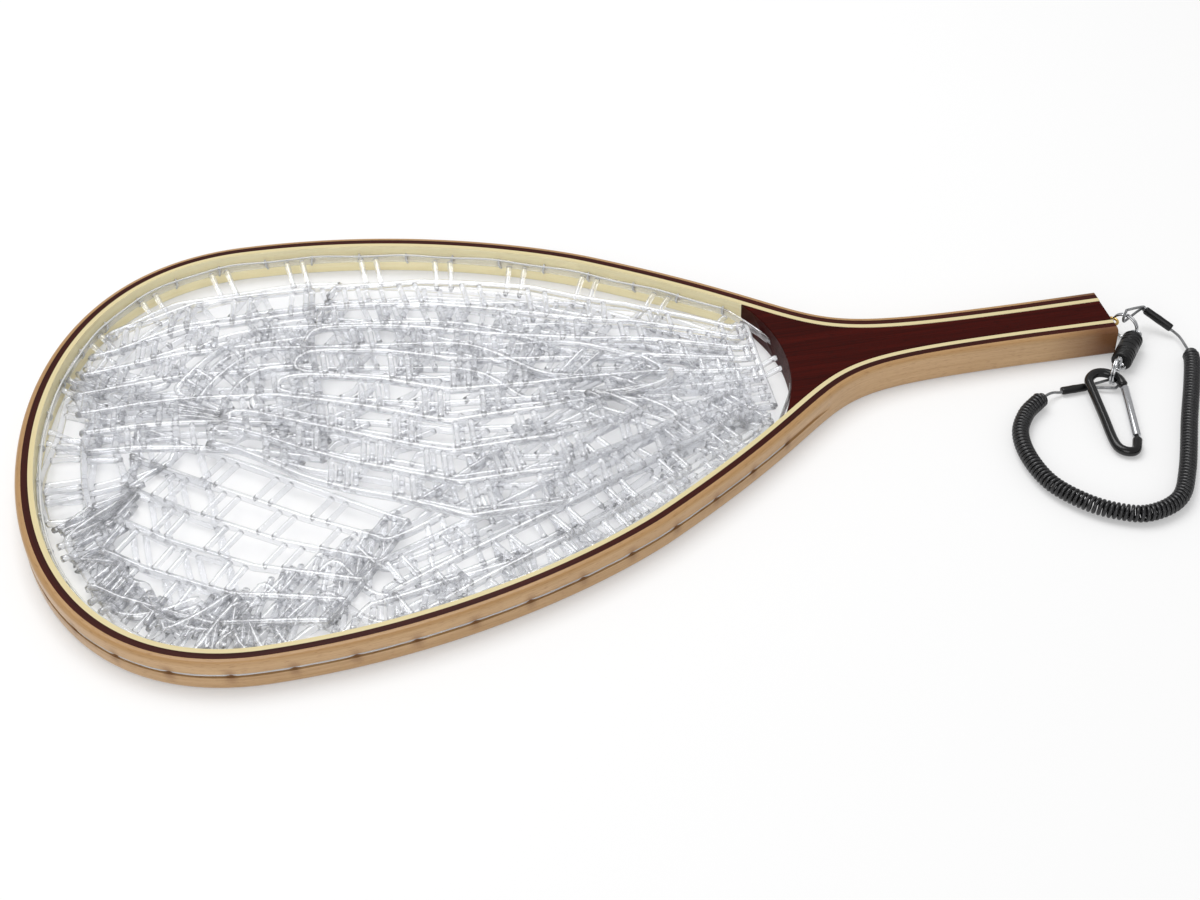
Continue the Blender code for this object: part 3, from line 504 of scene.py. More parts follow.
# The bag: a moulded net of clear rubber, with strands that run round parallel to
# the rim and pairs of short rungs between them, staggered like brickwork. It lies
# slack on the table: rows tucked in by the rim, and looser parts folded over them.
row_step, row_count, ring_points = 0.0208, 7, 420
rung_pitch, rim_rung_pitch, rung_half = 0.0335, 0.043, 0.0044
strand_radius, rung_radius = 0.00205, 0.00165
rim_points, rim_inset, hoop_middle_x = 900, 0.0022, -0.34
corner_x, corner_y, corner_reach = -0.475, -0.105, 0.105
left_slack, near_slack, first_inset = 0.0386, 0.0178, 0.006
fold_bend, rim_clearance, course_points, edge_points = 0.003, 0.004, 150, 70
rim = smooth_ring(rim_loop(rim_inset, rim_points), 30)
rim_u = np.arange(rim_points + 1) / rim_points
phases = np.random.default_rng(7).uniform(0, 2 * np.pi, (4, 8))
turns = np.array([2, 3, 4, 5, 6, 7, 8, 11])
waves = 2 * np.pi / np.array([0.30, 0.24, -0.20, 0.26, -0.16, 0.13, 0.18, -0.11])
weights = np.array([1.0, 0.9, 0.8, 0.7, 0.6, 0.45, 0.3, 0.15])


def ripple(u, depth, kind):
    """Slow uneven waves over the bag: a sum of sines of its own two directions, from about -1 to 1."""
    arg = 2 * np.pi * turns * u[..., None] + waves * depth[..., None] + phases[kind]
    return (np.sin(arg) * weights).sum(axis=-1) / 2.2


def rise(x, low, high):
    """A smooth step from 0 at low to 1 at high."""
    t = np.clip((x - low) / (high - low), 0, 1)
    return t * t * (3 - 2 * t)


rim_angle = np.arctan2(rim[:, 1], rim[:, 0] - hoop_middle_x)
rim_order = np.argsort(rim_angle)
rim_angle = rim_angle[rim_order]
rim_reach = np.hypot(rim[:, 0] - hoop_middle_x, rim[:, 1])[rim_order]


def within(spots):
    """Points held back from the hoop's inner face: each one's distance from the hoop's middle is kept a
    clearance short of the rim's."""
    x, y = spots[..., 0] - hoop_middle_x, spots[..., 1]
    limit = np.interp(np.arctan2(y, x), rim_angle, rim_reach, period=2 * np.pi)
    keep = np.minimum(1, (limit - rim_clearance) / np.maximum(np.hypot(x, y), 1e-6))
    return np.stack([x * keep + hoop_middle_x, y * keep, spots[..., 2]], axis=-1)


def bag_point(u, depth):
    """Where the bag's point lies: depth along its wall from the rim becomes a way in from the rim towards the
    hoop's middle, tucked by the rim where it is slack, then folded to and fro under itself, with slow ripples
    on all. Near the flat corner, at the lower left, it keeps close to the rim."""
    start = np.stack([np.interp(u % 1, rim_u, np.r_[rim[:, k], rim[:1, k]]) for k in (0, 1)], axis=-1)
    x, y = start[..., 0], start[..., 1]
    middle = np.stack([-0.325 + 0.060 * np.tanh((x + 0.325) / 0.12), -0.022 * np.tanh(y / 0.05)], axis=-1)
    reach = np.linalg.norm(middle - start, axis=-1)
    flat = hump(np.hypot(x - corner_x, y - corner_y), corner_reach)
    slack = left_slack * (1 - rise(x, -0.44, -0.38)) * (1 - rise(y, 0.06, 0.10))
    slack = slack + near_slack * rise(x, -0.39, -0.35) * (1 - rise(y, -0.06, -0.02))
    slack = slack * (1 - 0.54 * rise(flat, 0.62, 0.74))
    first, tuck = first_inset + slack, first_inset + 2 * slack
    turn_in = np.minimum(0.104 - 0.076 * flat, 0.86 * reach)
    back = np.minimum(0.074 - 0.040 * flat, 0.66 * turn_in)
    fold = tuck + turn_in - first_inset
    leg = np.maximum(depth - fold, 0) / back
    folded = turn_in - back * (1 - np.abs(1 - leg % 2))
    inset = np.where(depth < first, depth, np.where(depth < tuck, 2 * first - depth,
                                                    np.where(depth < fold, depth - 2 * slack, folded)))
    past = depth - 2 * slack
    heap = rise(past, 0.080, 0.170) * (1 - 0.5 * flat)
    bunch = hump(depth - 0.5 * (first + tuck), 0.028) * slack / left_slack
    sway = 0.0010 + 0.0035 * rise(past, 0.03, 0.09) * (1 - 0.5 * flat) + 0.0055 * heap + 0.0045 * bunch
    spot = start + (middle - start) * (inset / reach)[..., None]
    for across, size in ((u * 2, 0.0045 * bunch), (u, sway)):
        spot = spot + np.stack([ripple(across, depth, 0), ripple(across, depth, 1)], axis=-1) * size[..., None]
    under = rise(depth, fold - 0.01, fold + 0.02)
    z = 0.0070 * hump(depth, 0.011) + 0.0019 + 0.0045 * rise(past, 0.03, 0.07) * (1 - under) * (1 - flat)
    z = z + 0.0050 * bunch + (0.0016 + 0.0120 * heap) * np.clip(0.45 + 0.55 * ripple(u, depth, 2), 0, 2)
    return np.concatenate([spot, np.maximum(z, strand_radius)[..., None]], axis=-1)


u_ring = np.linspace(0, 1, ring_points)
ring_u, ring_depth = np.meshgrid(u_ring, row_step * np.arange(1, row_count + 1))
strands = sweep("bag_strands", bag_point(ring_u, ring_depth), strand_radius)

corner_u = float(rim_u[np.argmin(np.hypot(rim[:, 0] - corner_x, rim[:, 1] - corner_y))])
rung_u, rung_top = [], []
for row in range(row_count):
    mid_run = runs(bag_point(u_ring + corner_u, np.full(ring_points, row_step * (row + 0.5))))
    pairs = max(3, int(round(mid_run[-1] / (rung_pitch if row else rim_rung_pitch))))
    spots = (np.arange(pairs) + 0.5 * (row % 2)) * mid_run[-1] / pairs
    spots = np.concatenate([spots - rung_half, spots + rung_half]) % mid_run[-1]
    rung_u.append((np.interp(spots, mid_run, u_ring) + corner_u) % 1)
    rung_top.append(np.full(len(spots), row_step * row))
along_rung = np.linspace(0.07, 0.93, 9)
rung_u = np.repeat(np.concatenate(rung_u)[:, None], len(along_rung), axis=1)
rung_depth = np.concatenate(rung_top)[:, None] + row_step * along_rung[None]
rung_paths = bag_point(rung_u, rung_depth)
beside = bag_point(rung_u + 0.002, rung_depth) - rung_paths
swell = rung_radius * (1 + 0.12 * np.abs(2 * along_rung - 1)**3)
rungs = sweep("bag_rungs", rung_paths, swell[None], hint=beside)


def drape_point(s, t, plan):
    """A slack part of the bag, folded once: s runs along its courses from its right end to the fold and back
    beneath, t runs across them from its far edge, 0, to its near edge, 1; slow ripples shift it all."""
    fold_x = np.interp(t, plan["fold_t"], plan["fold_x"])
    away = plan["right"] - s - fold_x
    x = fold_x + np.sqrt(away**2 + fold_bend**2)
    over = 0.5 + 0.5 * np.tanh(away / 0.006)
    far = np.interp(x, plan["far_x"], plan["far_y"])
    near = np.interp(x, plan["near_x"], plan["near_y"])
    y = far + (near - far) * (t * (1 - plan["narrow"] * (1 - over)) + plan["shift"] * (1 - over))
    u, depth = (x + 0.5) * 0.9 + 0.13 * over, y + 0.4
    sway = plan["sway"] * (1 + 0.6 * (1 - over))
    x, y = x + sway * ripple(u, depth, 1), y + sway * ripple(u, depth, 3)
    z = plan["low"] + (plan["high"] - plan["low"]) * over + 0.0024 * np.clip(ripple(u, depth, 0), -1, 1.5)
    c, d = np.cos(plan["turn"]), np.sin(plan["turn"])
    x, y = plan["at"][0] + c * x - d * y, plan["at"][1] + d * x + c * y
    return within(np.stack([x, y, np.maximum(z, strand_radius)], axis=-1))


loose = dict(shift=0, narrow=0, turn=0, at=(0, 0))
heap = dict(loose, far_x=(-0.44, -0.366, -0.305, -0.249, -0.195, -0.145),
            near_x=(-0.44, -0.429, -0.383, -0.337, -0.303, -0.252, -0.166, -0.145))
plans = {
    "middle": dict(heap, right=-0.137, fold_t=(0, 0.45, 0.8, 1), fold_x=(-0.366, -0.386, -0.423, -0.432),
                   shift=0.05, narrow=0.06, far_y=(0.128, 0.126, 0.120, 0.102, 0.074, 0.036),
                   near_y=(0.004, 0.001, -0.034, -0.061, -0.086, -0.084, -0.046, -0.034),
                   courses=9, length=0.455, sway=0.0042, low=0.0042, high=0.0098),
    "under": dict(heap, right=-0.150, fold_t=(0, 1), fold_x=(-0.405, -0.395),
                  far_y=(0.117, 0.115, 0.110, 0.093, 0.066, 0.030),
                  near_y=(0.012, 0.009, -0.026, -0.051, -0.075, -0.076, -0.050, -0.038),
                  courses=8, length=0.250, sway=0.0050, low=0.0024, high=0.0040),
    "left": dict(loose, right=-0.372, fold_t=(0, 0.5, 1), fold_x=(-0.490, -0.504, -0.500), shift=-0.05, narrow=0.06,
                 far_x=(-0.51, -0.497, -0.441, -0.374, -0.30), far_y=(0.098, 0.108, 0.130, 0.131, 0.118),
                 near_x=(-0.51, -0.501, -0.462, -0.423, -0.34), near_y=(0.012, 0.011, 0.006, -0.004, -0.03),
                 courses=7, length=0.255, sway=0.0040, low=0.0030, high=0.0068),
    "panel": dict(loose, right=0.100, fold_t=(0, 1), fold_x=(-0.072, -0.022), far_x=(-0.09, 0.09),
                  far_y=(0.056, 0.050), near_x=(-0.09, 0, 0.05, 0.10), near_y=(-0.046, -0.054, -0.050, -0.026),
                  courses=6, length=0.215, sway=0.0016, low=0.0020, high=0.0046,
                  turn=math.radians(-36), at=(-0.444, -0.060)),
    "near": dict(loose, right=0.120, fold_t=(0, 1), fold_x=(-0.100, -0.112), shift=-0.06, narrow=0.06,
                 far_x=(-0.12, 0.12), far_y=(0.034, 0.026), near_x=(-0.12, 0, 0.12), near_y=(-0.026, -0.030, -0.026),
                 courses=4, length=0.400, sway=0.0026, low=0.0026, high=0.0068,
                 turn=math.radians(27.6), at=(-0.252, -0.094))}
drapes = []
for part, plan in plans.items():
    course_t = np.linspace(0, 1, plan["courses"])
    along = np.linspace(0, plan["length"], course_points)
    courses = drape_point(*np.broadcast_arrays(along[None], course_t[:, None]), plan)
    drapes.append(sweep(f"bag_{part}_strands", courses, strand_radius))
    end_runs = np.array([[0.0], [plan["length"]]])
    edges = drape_point(*np.broadcast_arrays(end_runs, np.linspace(0, 1, edge_points)[None]), plan)
    drapes.append(sweep(f"bag_{part}_edges", edges, strand_radius))
    row = np.arange(plan["courses"] - 1)
    spot = rung_pitch * (np.arange(int(plan["length"] / rung_pitch))[None] + 0.25 + 0.5 * (row % 2)[:, None])
    spot = (spot[..., None] + rung_half * np.array([-1, 1])).reshape(len(row), -1)
    start = np.repeat(course_t[:-1], spot.shape[1])[:, None] + course_t[1] * along_rung[None]
    paths = drape_point(np.repeat(spot.reshape(-1)[:, None], len(along_rung), axis=1), start, plan)
    drapes.append(sweep(f"bag_{part}_rungs", paths, swell[None], hint=(1.0, 0.0, 0.0)))
for piece in [strands, rungs] + drapes:
    fit(piece, clear_rubber)
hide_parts("net_bag")


# Brass screw eye in the butt, and two split rings of polished steel wire, each
# wound twice and stepped sideways where one turn passes the other.
def turned(name, profile, centre, axis, steps=40, closed=True):
    """A profile (radius, height) carried round an axis: centre + r (cos a * n + sin a * b) + h * axis. An open
    profile starts and ends by the axis, where its two small end rings are filled."""
    axis = np.array(Vector(axis).normalized())
    n = unit(np.cross(axis, (0.0, 0.0, 1.0) if abs(axis[2]) < 0.9 else (1.0, 0.0, 0.0)))
    b = np.cross(axis, n)
    a = around(steps)
    way = np.cos(a)[:, None] * n + np.sin(a)[:, None] * b
    points = np.array(centre) + profile[None, :, :1] * way[:, None] + profile[None, :, 1:] * axis
    if closed:
        return faces_out(grid_mesh(name, points, close_across=True, close_along=True))
    return faces_out(grid_mesh(name, points.swapaxes(0, 1), close_across=True, ends=True))


def wire_circle(radius, wire, count=14):
    """The round section of a ring: radius + wire/2 cos a, wire/2 sin a."""
    a = around(count)
    return np.stack([radius + wire / 2 * np.cos(a), wire / 2 * np.sin(a)], axis=1)


def rod(name, start, end, radius, rounding=0.0003, sides=24):
    """A turned rod with eased ends: profile from the axis, round the end, along and back."""
    length = np.linalg.norm(end - start)
    pole = 1e-5
    foot, head = eased_ends(radius, length, rounding, 5)
    profile = np.vstack([[[pole, 0.0]], foot, head, [[pole, length]]])
    return turned(name, profile, start, end - start, sides, closed=False)


def make_metal_wear():
    """Fine scratches and a little dullness on bare metal, from stretched noise on object coordinates."""
    tree, given, result = group("metal_wear", {"Place": "v", "Low": "f", "High": "f"}, {"Rough": "f", "Height": "f"})
    marks = noise(tree, given["Place"], (900.0, 2600.0, 700.0), 3.0)
    feed(tree, result, Rough=ranged(tree, marks, 0.3, 0.7, given["Low"], given["High"]), Height=marks)
    return tree


metal_wear = make_metal_wear()


def bare_metal(name, colour, low, high):
    """Metal with the wear group on its roughness and a faint bump."""
    made, tree, shader = new_material(name, Base_Color=srgb(*colour), Metallic=1.0)
    place = node(tree, "TexCoord").outputs["Object"]
    wear = use_group(tree, metal_wear, Place=place, Low=low, High=high)
    textured(tree, shader, wear, 0.006, 0.0001)
    return made


brass = bare_metal("brass", (214, 178, 104), 0.22, 0.42)
steel = bare_metal("steel", (205, 206, 208), 0.08, 0.18)


def joined(name, *pieces):
    """Several meshes as one object."""
    with bpy.context.temp_override(active_object=pieces[0], selected_editable_objects=list(pieces)):
        bpy.ops.object.join()
    pieces[0].name = name
    pieces[0].data.name = name
    return pieces[0]


gap = 0.0003
up, across = np.array([0.0, 0.0, 1.0]), np.array([0.0, 1.0, 0.0])
eye_radius, eye_wire, shank_reach, collar_reach = 0.0034, 0.0016, 0.0194, 0.0047
shank_radius, collar_radius = 0.00075, 0.0012
eye_centre = np.array([butt_x + gap + eye_wire / 2 + eye_radius, 0.0, frame_height / 2])
eye_back = eye_centre - [eye_radius, 0, 0]
screw_eye = joined("brass_eye", turned("eye_loop", wire_circle(eye_radius, eye_wire), eye_centre, up),
                   rod("eye_shank", eye_back, eye_centre - [shank_reach, 0, 0], shank_radius),
                   rod("eye_collar", eye_back, eye_centre - [collar_reach, 0, 0], collar_radius))
fit(screw_eye, brass, "screw_eye")

ring_radius, ring_wire, ring_pitch = 0.0073, 0.0012, 0.00155
lug_radius, lug_wire, release_z = 0.0030, 0.0014, 0.0062
release_half, parting_gap, ring_seat, lug_seat = 0.0118, 0.0004, 0.0006, 0.0004
upper_way, release_way = unit(np.array([[0.65, -0.76, 0.0], [-0.62, -0.785, 0.0]]))
upper_centre = eye_centre + [ring_seat, 0, 0] + upper_way * ring_radius
upper_chord = math.sqrt(ring_radius**2 - (upper_centre[2] - release_z)**2)
upper_lug = upper_centre + upper_way * upper_chord + release_way * lug_seat
upper_lug[2] = release_z
lug_reach = lug_radius + lug_wire / 2 + gap
release_top = upper_lug + release_way * lug_reach
parting = release_top + release_way * release_half
lower_face = parting + release_way * parting_gap
release_end = lower_face + release_way * release_half
lower_lug = release_end + release_way * lug_reach
lower_centre = np.array([lower_lug[0], lower_lug[1], ring_radius + ring_wire / 2 + gap])
lower_centre = lower_centre + release_way * math.sqrt(ring_radius**2 - (lower_centre[2] - release_z)**2)


def split_ring(stands_for, centre, toward, split_at, body):
    """Two turns of wire in the upright plane that holds the direction, stepping sideways by the pitch: centre +
    r (cos a * toward + sin a * up) + lane * side."""
    a = np.linspace(0, 4 * np.pi, 145)
    side = np.cross(toward, up)
    lane = ring_pitch * np.tanh((a - 2 * np.pi) / 1.2) / 2
    circle = np.cos(a + split_at)[:, None] * toward + np.sin(a + split_at)[:, None] * up
    path = centre + ring_radius * circle + lane[:, None] * side
    made = sweep(stands_for + "_wire", path[None], ring_wire / 2, sides=10, hint=side)
    fit(made, steel, stands_for, body)


split_ring("upper_split_ring", upper_centre, upper_way, -math.pi / 2, "upper_ring")
split_ring("lower_split_ring", lower_centre, release_way, math.pi / 2, "lower_ring")


# The magnetic release: two turned halves of black plastic with grip ribs, each with
# a steel eye at its end and a disc magnet let into its parting face.
def make_moulded():
    """Fine moulded texture: a little unevenness of colour, roughness and height on object coordinates."""
    tree, given, result = group("moulded", {"Place": "v", "Colour": "c", "Worn": "c", "Low": "f", "High": "f"},
                                {"Colour": "c", "Rough": "f", "Height": "f"})
    speck = noise(tree, given["Place"], 2600.0, 2.0)
    patch = noise(tree, given["Place"], 260.0, 3.0)
    tone = mixed(tree, ranged(tree, patch, 0.5, 0.8), given["Colour"], given["Worn"])
    feed(tree, result, Colour=tone, Rough=ranged(tree, patch, 0.3, 0.7, given["Low"], given["High"]), Height=speck)
    return tree


moulded = make_moulded()


def moulded_material(name, colour, worn, low, high, bump_strength, **sockets):
    """A moulded or coated finish: the moulded group on colour, roughness and bump."""
    made, tree, shader = new_material(name, **sockets)
    place = node(tree, "TexCoord").outputs["Object"]
    look = use_group(tree, moulded, Place=place, Colour=srgb(*colour), Worn=srgb(*worn), Low=low, High=high)
    textured(tree, shader, look, bump_strength, 0.0001, Base_Color=look["Colour"])
    return made


black_plastic = moulded_material("black_plastic", (13, 13, 14), (24, 24, 26), 0.26, 0.42, 0.2,
                                 Specular_IOR_Level=0.35)
release_radius, release_bore, shoulder_size = 0.0056, 0.0010, 0.0014
rib_depth, rib_pitch, rib_from, rib_to = 0.0006, 0.0026, 0.0020, 0.0098
seat_radius, seat_depth, magnet_radius = 0.0043, 0.0031, 0.0040
magnet_back, magnet_front, lug_shank, lug_shank_radius = 0.00295, 0.00015, 0.0050, 0.00063
body_height = np.linspace(0, release_half, 73)
ribs = rib_depth * np.clip(np.sin(2 * np.pi * (body_height - rib_from) / rib_pitch), 0, 1)**0.6
ribs *= (body_height > rib_from) & (body_height < rib_to)
shoulder_round = np.sqrt(1 - ((shoulder_size - body_height) / shoulder_size).clip(0, 1)**2)
body_radius = release_radius - ribs - shoulder_size * (1 - shoulder_round)
body_profile = np.vstack([[[release_bore, 0.0]], np.stack([body_radius, body_height], axis=1),
                          [[seat_radius, release_half]], [[seat_radius, release_half - seat_depth]],
                          [[release_bore, release_half - seat_depth]]])
for half, top, way, face, lug, body in (("upper", release_top, release_way, parting, upper_lug, "frame"),
                                        ("lower", release_end, -release_way, lower_face, lower_lug, "release")):
    shell = turned(f"release_{half}_shell", body_profile, top, way, 48)
    shell.data.set_sharp_from_angle(angle=math.radians(50))
    disc = rod(f"release_{half}_disc", face - way * magnet_back, face - way * magnet_front, magnet_radius)
    eye = joined(f"release_{half}_lug", turned("lug_loop", wire_circle(lug_radius, lug_wire), lug, up),
                 rod("lug_shank", lug + way * lug_radius, lug + way * (lug_radius + lug_shank), lug_shank_radius))
    fit(shell, black_plastic, f"release_{half}_body", body)
    fit(disc, steel, f"release_{half}_magnet", body)
    fit(eye, steel, f"release_{half}_eye", body)


# The carabiner: a bent rod of black anodised aluminium with a bare steel gate, which
# turns on a pin through the rod's flat tongue.
pitch_down, heading = math.radians(3.9), math.radians(-95.0)
carabiner_place = np.array(Matrix.Translation(Vector(lower_centre) + Vector((-0.0158, 0.0030, -0.0012)))
                           @ Matrix.Rotation(heading, 4, "Z") @ Matrix.Rotation(pitch_down, 4, "Y"))
carabiner_rod, gate_rod, spine_points, end_share = 0.0050, 0.0044, 150, 0.012
tongue_half, tongue_radius, pin_half, pin_radius = 0.0010, 0.0018, 0.00225, 0.00075
gate_tail, gate_short, gate_edge = 0.0020, 0.0008, 0.0007
hinge, gate_nose = np.array([0.0490, 0.0128]), np.array([0.0130, 0.0175])
rod_route = np.array([[*gate_nose, 0], [0.0062, 0.0160, 0], [0.0016, 0.0110, 0], [0.0012, 0.0050, 0],
                      [0.0060, 0.0004, 0], [0.0140, 0.0, 0], [0.0340, 0.0, 0], [0.0540, 0.0, 0],
                      [0.0605, 0.0030, 0], [0.0610, 0.0088, 0], [hinge[0] + 0.0034, hinge[1] - 0.0003, 0]])


def smooth_route(points, count):
    """A Catmull-Rom curve through the points, read at even runs."""
    p = np.vstack([2 * points[0] - points[1], points, 2 * points[-1] - points[-2]])
    t = np.linspace(0, 1, 30, endpoint=False)[None, :, None]
    a, b, c, d = (p[k:len(p) - 3 + k][:, None] for k in range(4))
    dense = 0.5 * (2 * b + (c - a) * t + (2 * a - 5 * b + 4 * c - d) * t**2 + (3 * b - a - 3 * c + d) * t**3)
    return even(np.vstack([dense.reshape(-1, 3), p[-2:-1]]), count)


def on_carabiner(points):
    """Points of the carabiner's own flat frame, put where it lies: place * point."""
    return np.array(points) @ carabiner_place[:3, :3].T + carabiner_place[:3, 3]


spine_run = np.linspace(0, 1, spine_points)
end_ease = np.minimum(1, np.sqrt(np.clip(np.minimum(spine_run, 1 - spine_run) / end_share, 0.02, 1)))
body_rod = sweep("carabiner_rod", on_carabiner(smooth_route(rod_route, spine_points))[None],
                 (carabiner_rod / 2 * end_ease)[None], sides=20, hint=carabiner_place[:3, 2])
tongue = rod("tongue", *on_carabiner([[*hinge, -tongue_half], [*hinge, tongue_half]]), tongue_radius)
bar = rod("tongue_bar", *on_carabiner([[hinge[0] + 0.0044, hinge[1] - 0.0003, 0],
                                       [hinge[0] + 0.0003, hinge[1] - 0.0001, 0]]), tongue_half)
carabiner = joined("carabiner_hook", body_rod, tongue, bar)
gate_way = unit(gate_nose - hinge)
gate_span = np.linalg.norm(gate_nose - hinge) - gate_short
gate = rod("gate_bar", *on_carabiner([[*(hinge - gate_way * gate_tail), 0], [*(hinge + gate_way * gate_span), 0]]),
           gate_rod / 2, gate_edge, 32)
pin = rod("gate_rivet", *on_carabiner([[*hinge, -pin_half], [*hinge, pin_half]]), pin_radius)
black_metal = moulded_material("black_anodised", (6, 6, 7), (12, 12, 13), 0.14, 0.24, 0.03, Specular_IOR_Level=0.45)
fit(carabiner, black_metal, "carabiner_body", "carabiner")
fit(gate, bare_metal("gate_steel", (196, 197, 200), 0.14, 0.20), "carabiner_gate", "gate")
fit(pin, steel, "gate_pin", "carabiner")


# The lanyard: one dark cable in a long tight coil, with a plain end at each side that
# goes through a shrunk black sleeve, round its ring and back to a crimp in the sleeve.
lead_radius, lead_lane, lead_ahead, lead_tail = 0.00075, 0.0009, 0.0020, 0.0042
loop_radius, far_loop_z = 0.0036, 0.0027
coil_cable, coil_curls, coil_radius, curl_points = 0.0020, 112, 0.0035, 14
sleeve_wide, sleeve_high, crimp_wide, crimp_high, crimp_half = 0.0050, 0.0036, 0.0042, 0.0022, 0.0035
foot = np.array([butt_x, 0.0, 0.0])
near_sleeve = foot + np.array([[0.0250, 0.0030, 0.0110], [0.0362, -0.0092, 0.0052]])
near_lead = foot + np.array([[0.0372, -0.0297, 0.0047], [0.0378, -0.0230, 0.0044], [0.0380, -0.0160, 0.0042]])
near_hook, near_way = upper_centre + up * ring_radius, np.cross(upper_way, up)
far_sleeve = lower_centre + np.array([[-0.0169, -0.0028, -0.0062], [-0.0309, -0.0035, -0.0060]])
far_lead = lower_centre + np.array([[-0.0432, -0.0093, -0.0035], [-0.0397, -0.0071, -0.0038],
                                    [-0.0363, -0.0053, -0.0048]])
far_drop = lower_centre[2] - far_loop_z
far_hook = lower_centre - up * far_drop + release_way * (math.sqrt(ring_radius**2 - far_drop**2) + gap)
coil_z = 0.0047
coil_xy = np.array([(0.0372, -0.0293), (0.0355, -0.0380), (0.0264, -0.0580), (0.0134, -0.0844), (-0.0042, -0.1216),
                    (-0.0172, -0.1412), (-0.0355, -0.1481), (-0.0507, -0.1433), (-0.0636, -0.1330),
                    (-0.0744, -0.1167), (-0.0781, -0.0959), (-0.0758, -0.0770), (-0.0678, -0.0630)])
coil_route = np.vstack([foot + np.insert(coil_xy, 2, coil_z, axis=1),
                        lower_centre + np.array([(-0.0489, -0.0133, -0.0035), (-0.0429, -0.0091, -0.0035)])])


def carried(path, radius, sides, name):
    """A tube whose section is carried along the path without twisting: each step turns the last normal square."""
    along = unit(np.gradient(path, axis=0))
    normal = np.cross(along[0], (0.3, 0.5, 0.81))
    normals = []
    for way in along:
        normal = unit(normal - way * normal.dot(way))
        normals.append(normal)
    return sweep(name, path[None], radius, sides, np.array(normals)[None])


def looped_lead(name, hook, loop_way, loop_up, sleeve, lead):
    """The plain cable from the coil's end through the sleeve, round the hook and back into the sleeve."""
    angles = np.radians(np.linspace(-90, 90, 9))[:, None]
    bend = hook + loop_way * loop_radius * np.cos(angles) + loop_up * loop_radius * np.sin(angles)
    along = unit(sleeve[1] - sleeve[0])
    off = unit(loop_up - along * loop_up.dot(along)) * lead_lane
    ahead = along * lead_ahead
    crimp = sleeve.mean(axis=0)
    route = np.vstack([lead, np.array([sleeve[1] + ahead, sleeve[1], crimp, sleeve[0], sleeve[0] - ahead]) - off,
                       bend, np.array([sleeve[0] - ahead, sleeve[0], crimp, crimp + along * lead_tail]) + off])
    return carried(smooth_route(route, 120), lead_radius, 12, name)


def oval_tube(name, ends, wide_way, wide, high):
    """A straight sleeve of oval section with eased ends: centre + wide/2 cos a * w + high/2 sin a * h."""
    along = unit(ends[1] - ends[0])
    w = unit(wide_way - along * wide_way.dot(along))
    h = np.cross(along, w)
    a = around(28)[:, None]
    run = np.array([0.0, 0.0, 0.02, 0.06, 0.3, 0.5, 0.7, 0.94, 0.98, 1.0, 1.0])
    size = np.array([0.05, 0.80, 0.93, 1.0, 1.0, 1.04, 1.0, 1.0, 0.93, 0.80, 0.05])
    centre = ends[0] + (ends[1] - ends[0]) * run[:, None]
    oval = wide / 2 * np.cos(a) * w + high / 2 * np.sin(a) * h
    return faces_out(grid_mesh(name, centre[:, None] + size[:, None, None] * oval, close_across=True, ends=True))


def crimp_span(sleeve):
    """The two ends of the crimp, about the middle of its sleeve."""
    return sleeve.mean(axis=0) + np.outer([-crimp_half, crimp_half], unit(sleeve[1] - sleeve[0]))


def coil_points(route, curls, radius):
    """One unbroken helix about the route, drawn in to it over its first and last curl: spot + r (sin a * across
    + cos a * up); returns it and the route's direction at each point."""
    spot = even(smooth_route(route, 1200), curls * curl_points + 1)
    along = unit(np.gradient(spot, axis=0))
    sideways = np.stack([-along[:, 1], along[:, 0], np.zeros(len(along))], axis=1)
    curl = np.linspace(0, curls, len(spot))
    swell_out = radius * rise(np.minimum(curl, curls - curl), 0, 1.5)
    a = 2 * np.pi * curl
    return spot + sideways * (swell_out * np.sin(a))[:, None] + np.outer(swell_out * np.cos(a), up), along


cord_look = moulded_material("cord_grey", (24, 24, 26), (36, 36, 39), 0.18, 0.30, 0.05, Specular_IOR_Level=0.55)
lead_look = moulded_material("lead_grey", (128, 129, 131), (152, 153, 155), 0.20, 0.34, 0.05, Metallic=0.6)
coil_path, coil_along = coil_points(coil_route, coil_curls, coil_radius)
coil = sweep("coiled_cable", coil_path[None], coil_cable / 2, 8, coil_along)
coil.data.materials.append(cord_look)
cord_ends = (("near", "frame", near_hook, near_way, up, near_sleeve, near_lead),
             ("far", "release", far_hook, np.array([1.0, 0.0, 0.0]), across, far_sleeve, far_lead))
end_cables = [looped_lead(f"{side}_cable", *route) for side, _, *route in cord_ends]
shrinks = [oval_tube(f"{side}_shrink", sleeve, wide_way, sleeve_wide, sleeve_high)
           for side, _, _, _, wide_way, sleeve, _ in cord_ends]
crimps = [oval_tube(f"{side}_crimp", crimp_span(sleeve), wide_way, crimp_wide, crimp_high)
          for side, _, _, _, wide_way, sleeve, _ in cord_ends]
for pieces, look, finish, part in ((end_cables, lead_look, "cord_grey", "lead"),
                                   (shrinks, black_plastic, "black_plastic", "sleeve"),
                                   (crimps, steel, "steel", "ferrule")):
    for piece, (side, body, *_) in zip(pieces, cord_ends):
        fit(piece, look, f"{side}_{part}", body)
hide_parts("lanyard_coil")
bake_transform(coil)


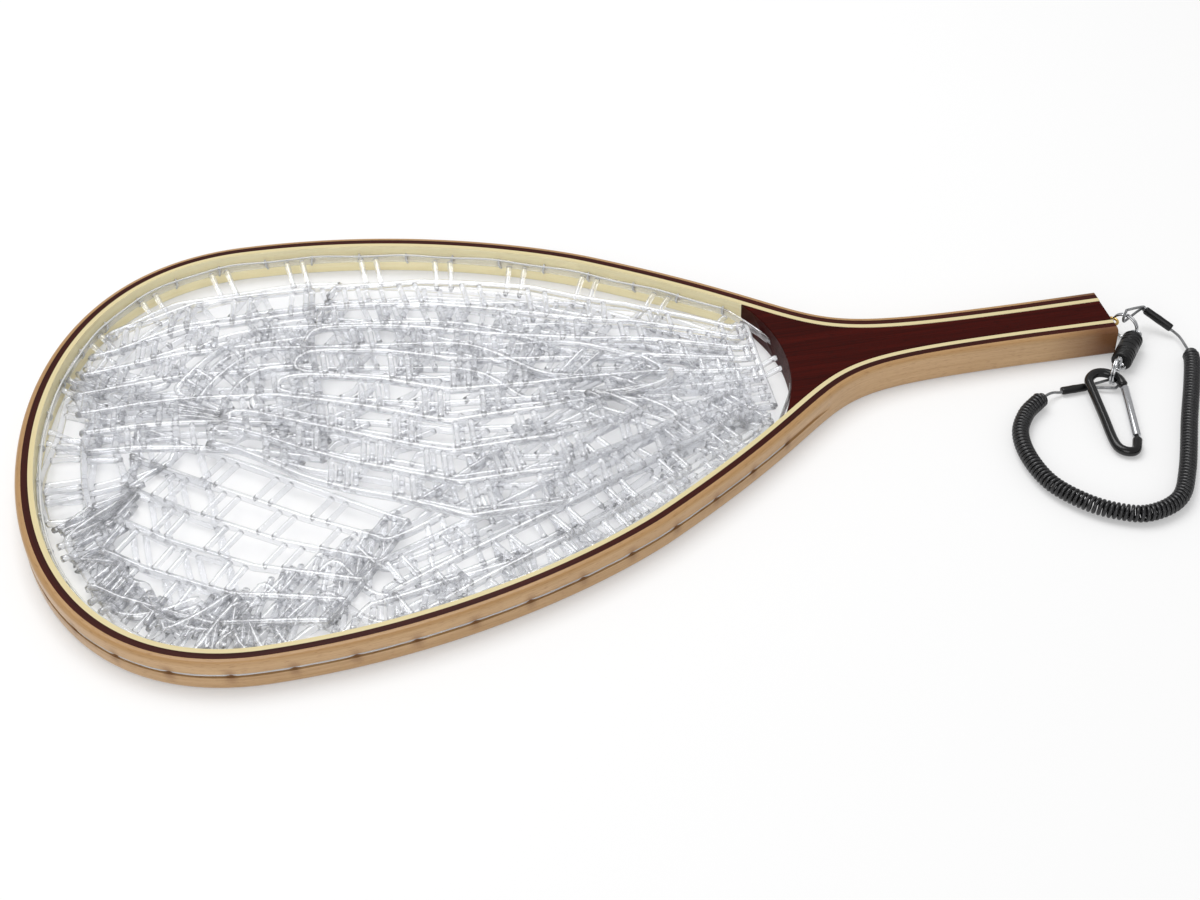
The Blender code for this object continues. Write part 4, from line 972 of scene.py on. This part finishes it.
# The table: a plain white sheet that also shows white behind the object, with soft
# shadows, under one broad overhead light and a weaker fill.
table_half, table_z, glow_share = 6.0, -0.0003, 0.28
table_corners = [[(x, y, table_z) for x in (-table_half, table_half)] for y in (-table_half, table_half)]
table = grid_mesh("table", np.array(table_corners))
table_look, tree, shader = new_material("table", Base_Color=(0.86, 0.86, 0.86), Roughness=0.9, Specular_IOR_Level=0.1)
glow = node(tree, "Emission", Color=(1.0, 1.0, 1.0), Strength=1.0)
path = node(tree, "LightPath").outputs
seen = maths(tree, "ADD", path["Is Camera Ray"], path["Is Glossy Ray"], clamp=True)
seen = maths(tree, "ADD", seen, path["Is Transmission Ray"], clamp=True)
show_mix(tree, maths(tree, "MULTIPLY", seen, glow_share), shader, glow)
table.data.materials.append(table_look)

world = bpy.data.worlds.new("studio")
scene.world = world
world.use_nodes = True
feed(world.node_tree, world.node_tree.nodes["Background"], Color=(1.0, 1.0, 1.0), Strength=0.55)


def area_light(name, place, aim, size, power):
    """A square soft light at a place, turned to a point."""
    data = bpy.data.lights.new(name, "AREA")
    data.shape = "SQUARE"
    data.size = size
    data.energy = power
    lamp = bpy.data.objects.new(name, data)
    lamp.location = place
    lamp.rotation_euler = (Vector(aim) - Vector(place)).to_track_quat("-Z", "Y").to_euler()
    scene.collection.objects.link(lamp)


area_light("overhead", (-0.5, 0.65, 1.85), (-0.25, 0.0, 0.0), 1.4, 26.0)
area_light("front_fill", (-0.9, -1.6, 1.1), (-0.25, 0.0, 0.0), 1.2, 9.0)

scene.view_settings.view_transform = "Standard"
image_width, focal_pixels = 1200.0, 1820.36
camera_data = bpy.data.cameras.new("camera")
camera_data.sensor_width = 36.0
camera_data.lens = camera_data.sensor_width * focal_pixels / image_width
camera_data.clip_start = 0.01
camera = bpy.data.objects.new("camera", camera_data)
yaw, pitch, roll = math.radians(8.7417), math.radians(-40.274), math.radians(-2.2731)
camera.matrix_world = (Matrix.Translation((-0.34071, -0.75502, 0.61444)) @ Matrix.Rotation(-yaw, 4, "Z")
                       @ Matrix.Rotation(math.pi / 2 + pitch, 4, "X") @ Matrix.Rotation(roll, 4, "Z"))
scene.collection.objects.link(camera)
scene.camera = camera
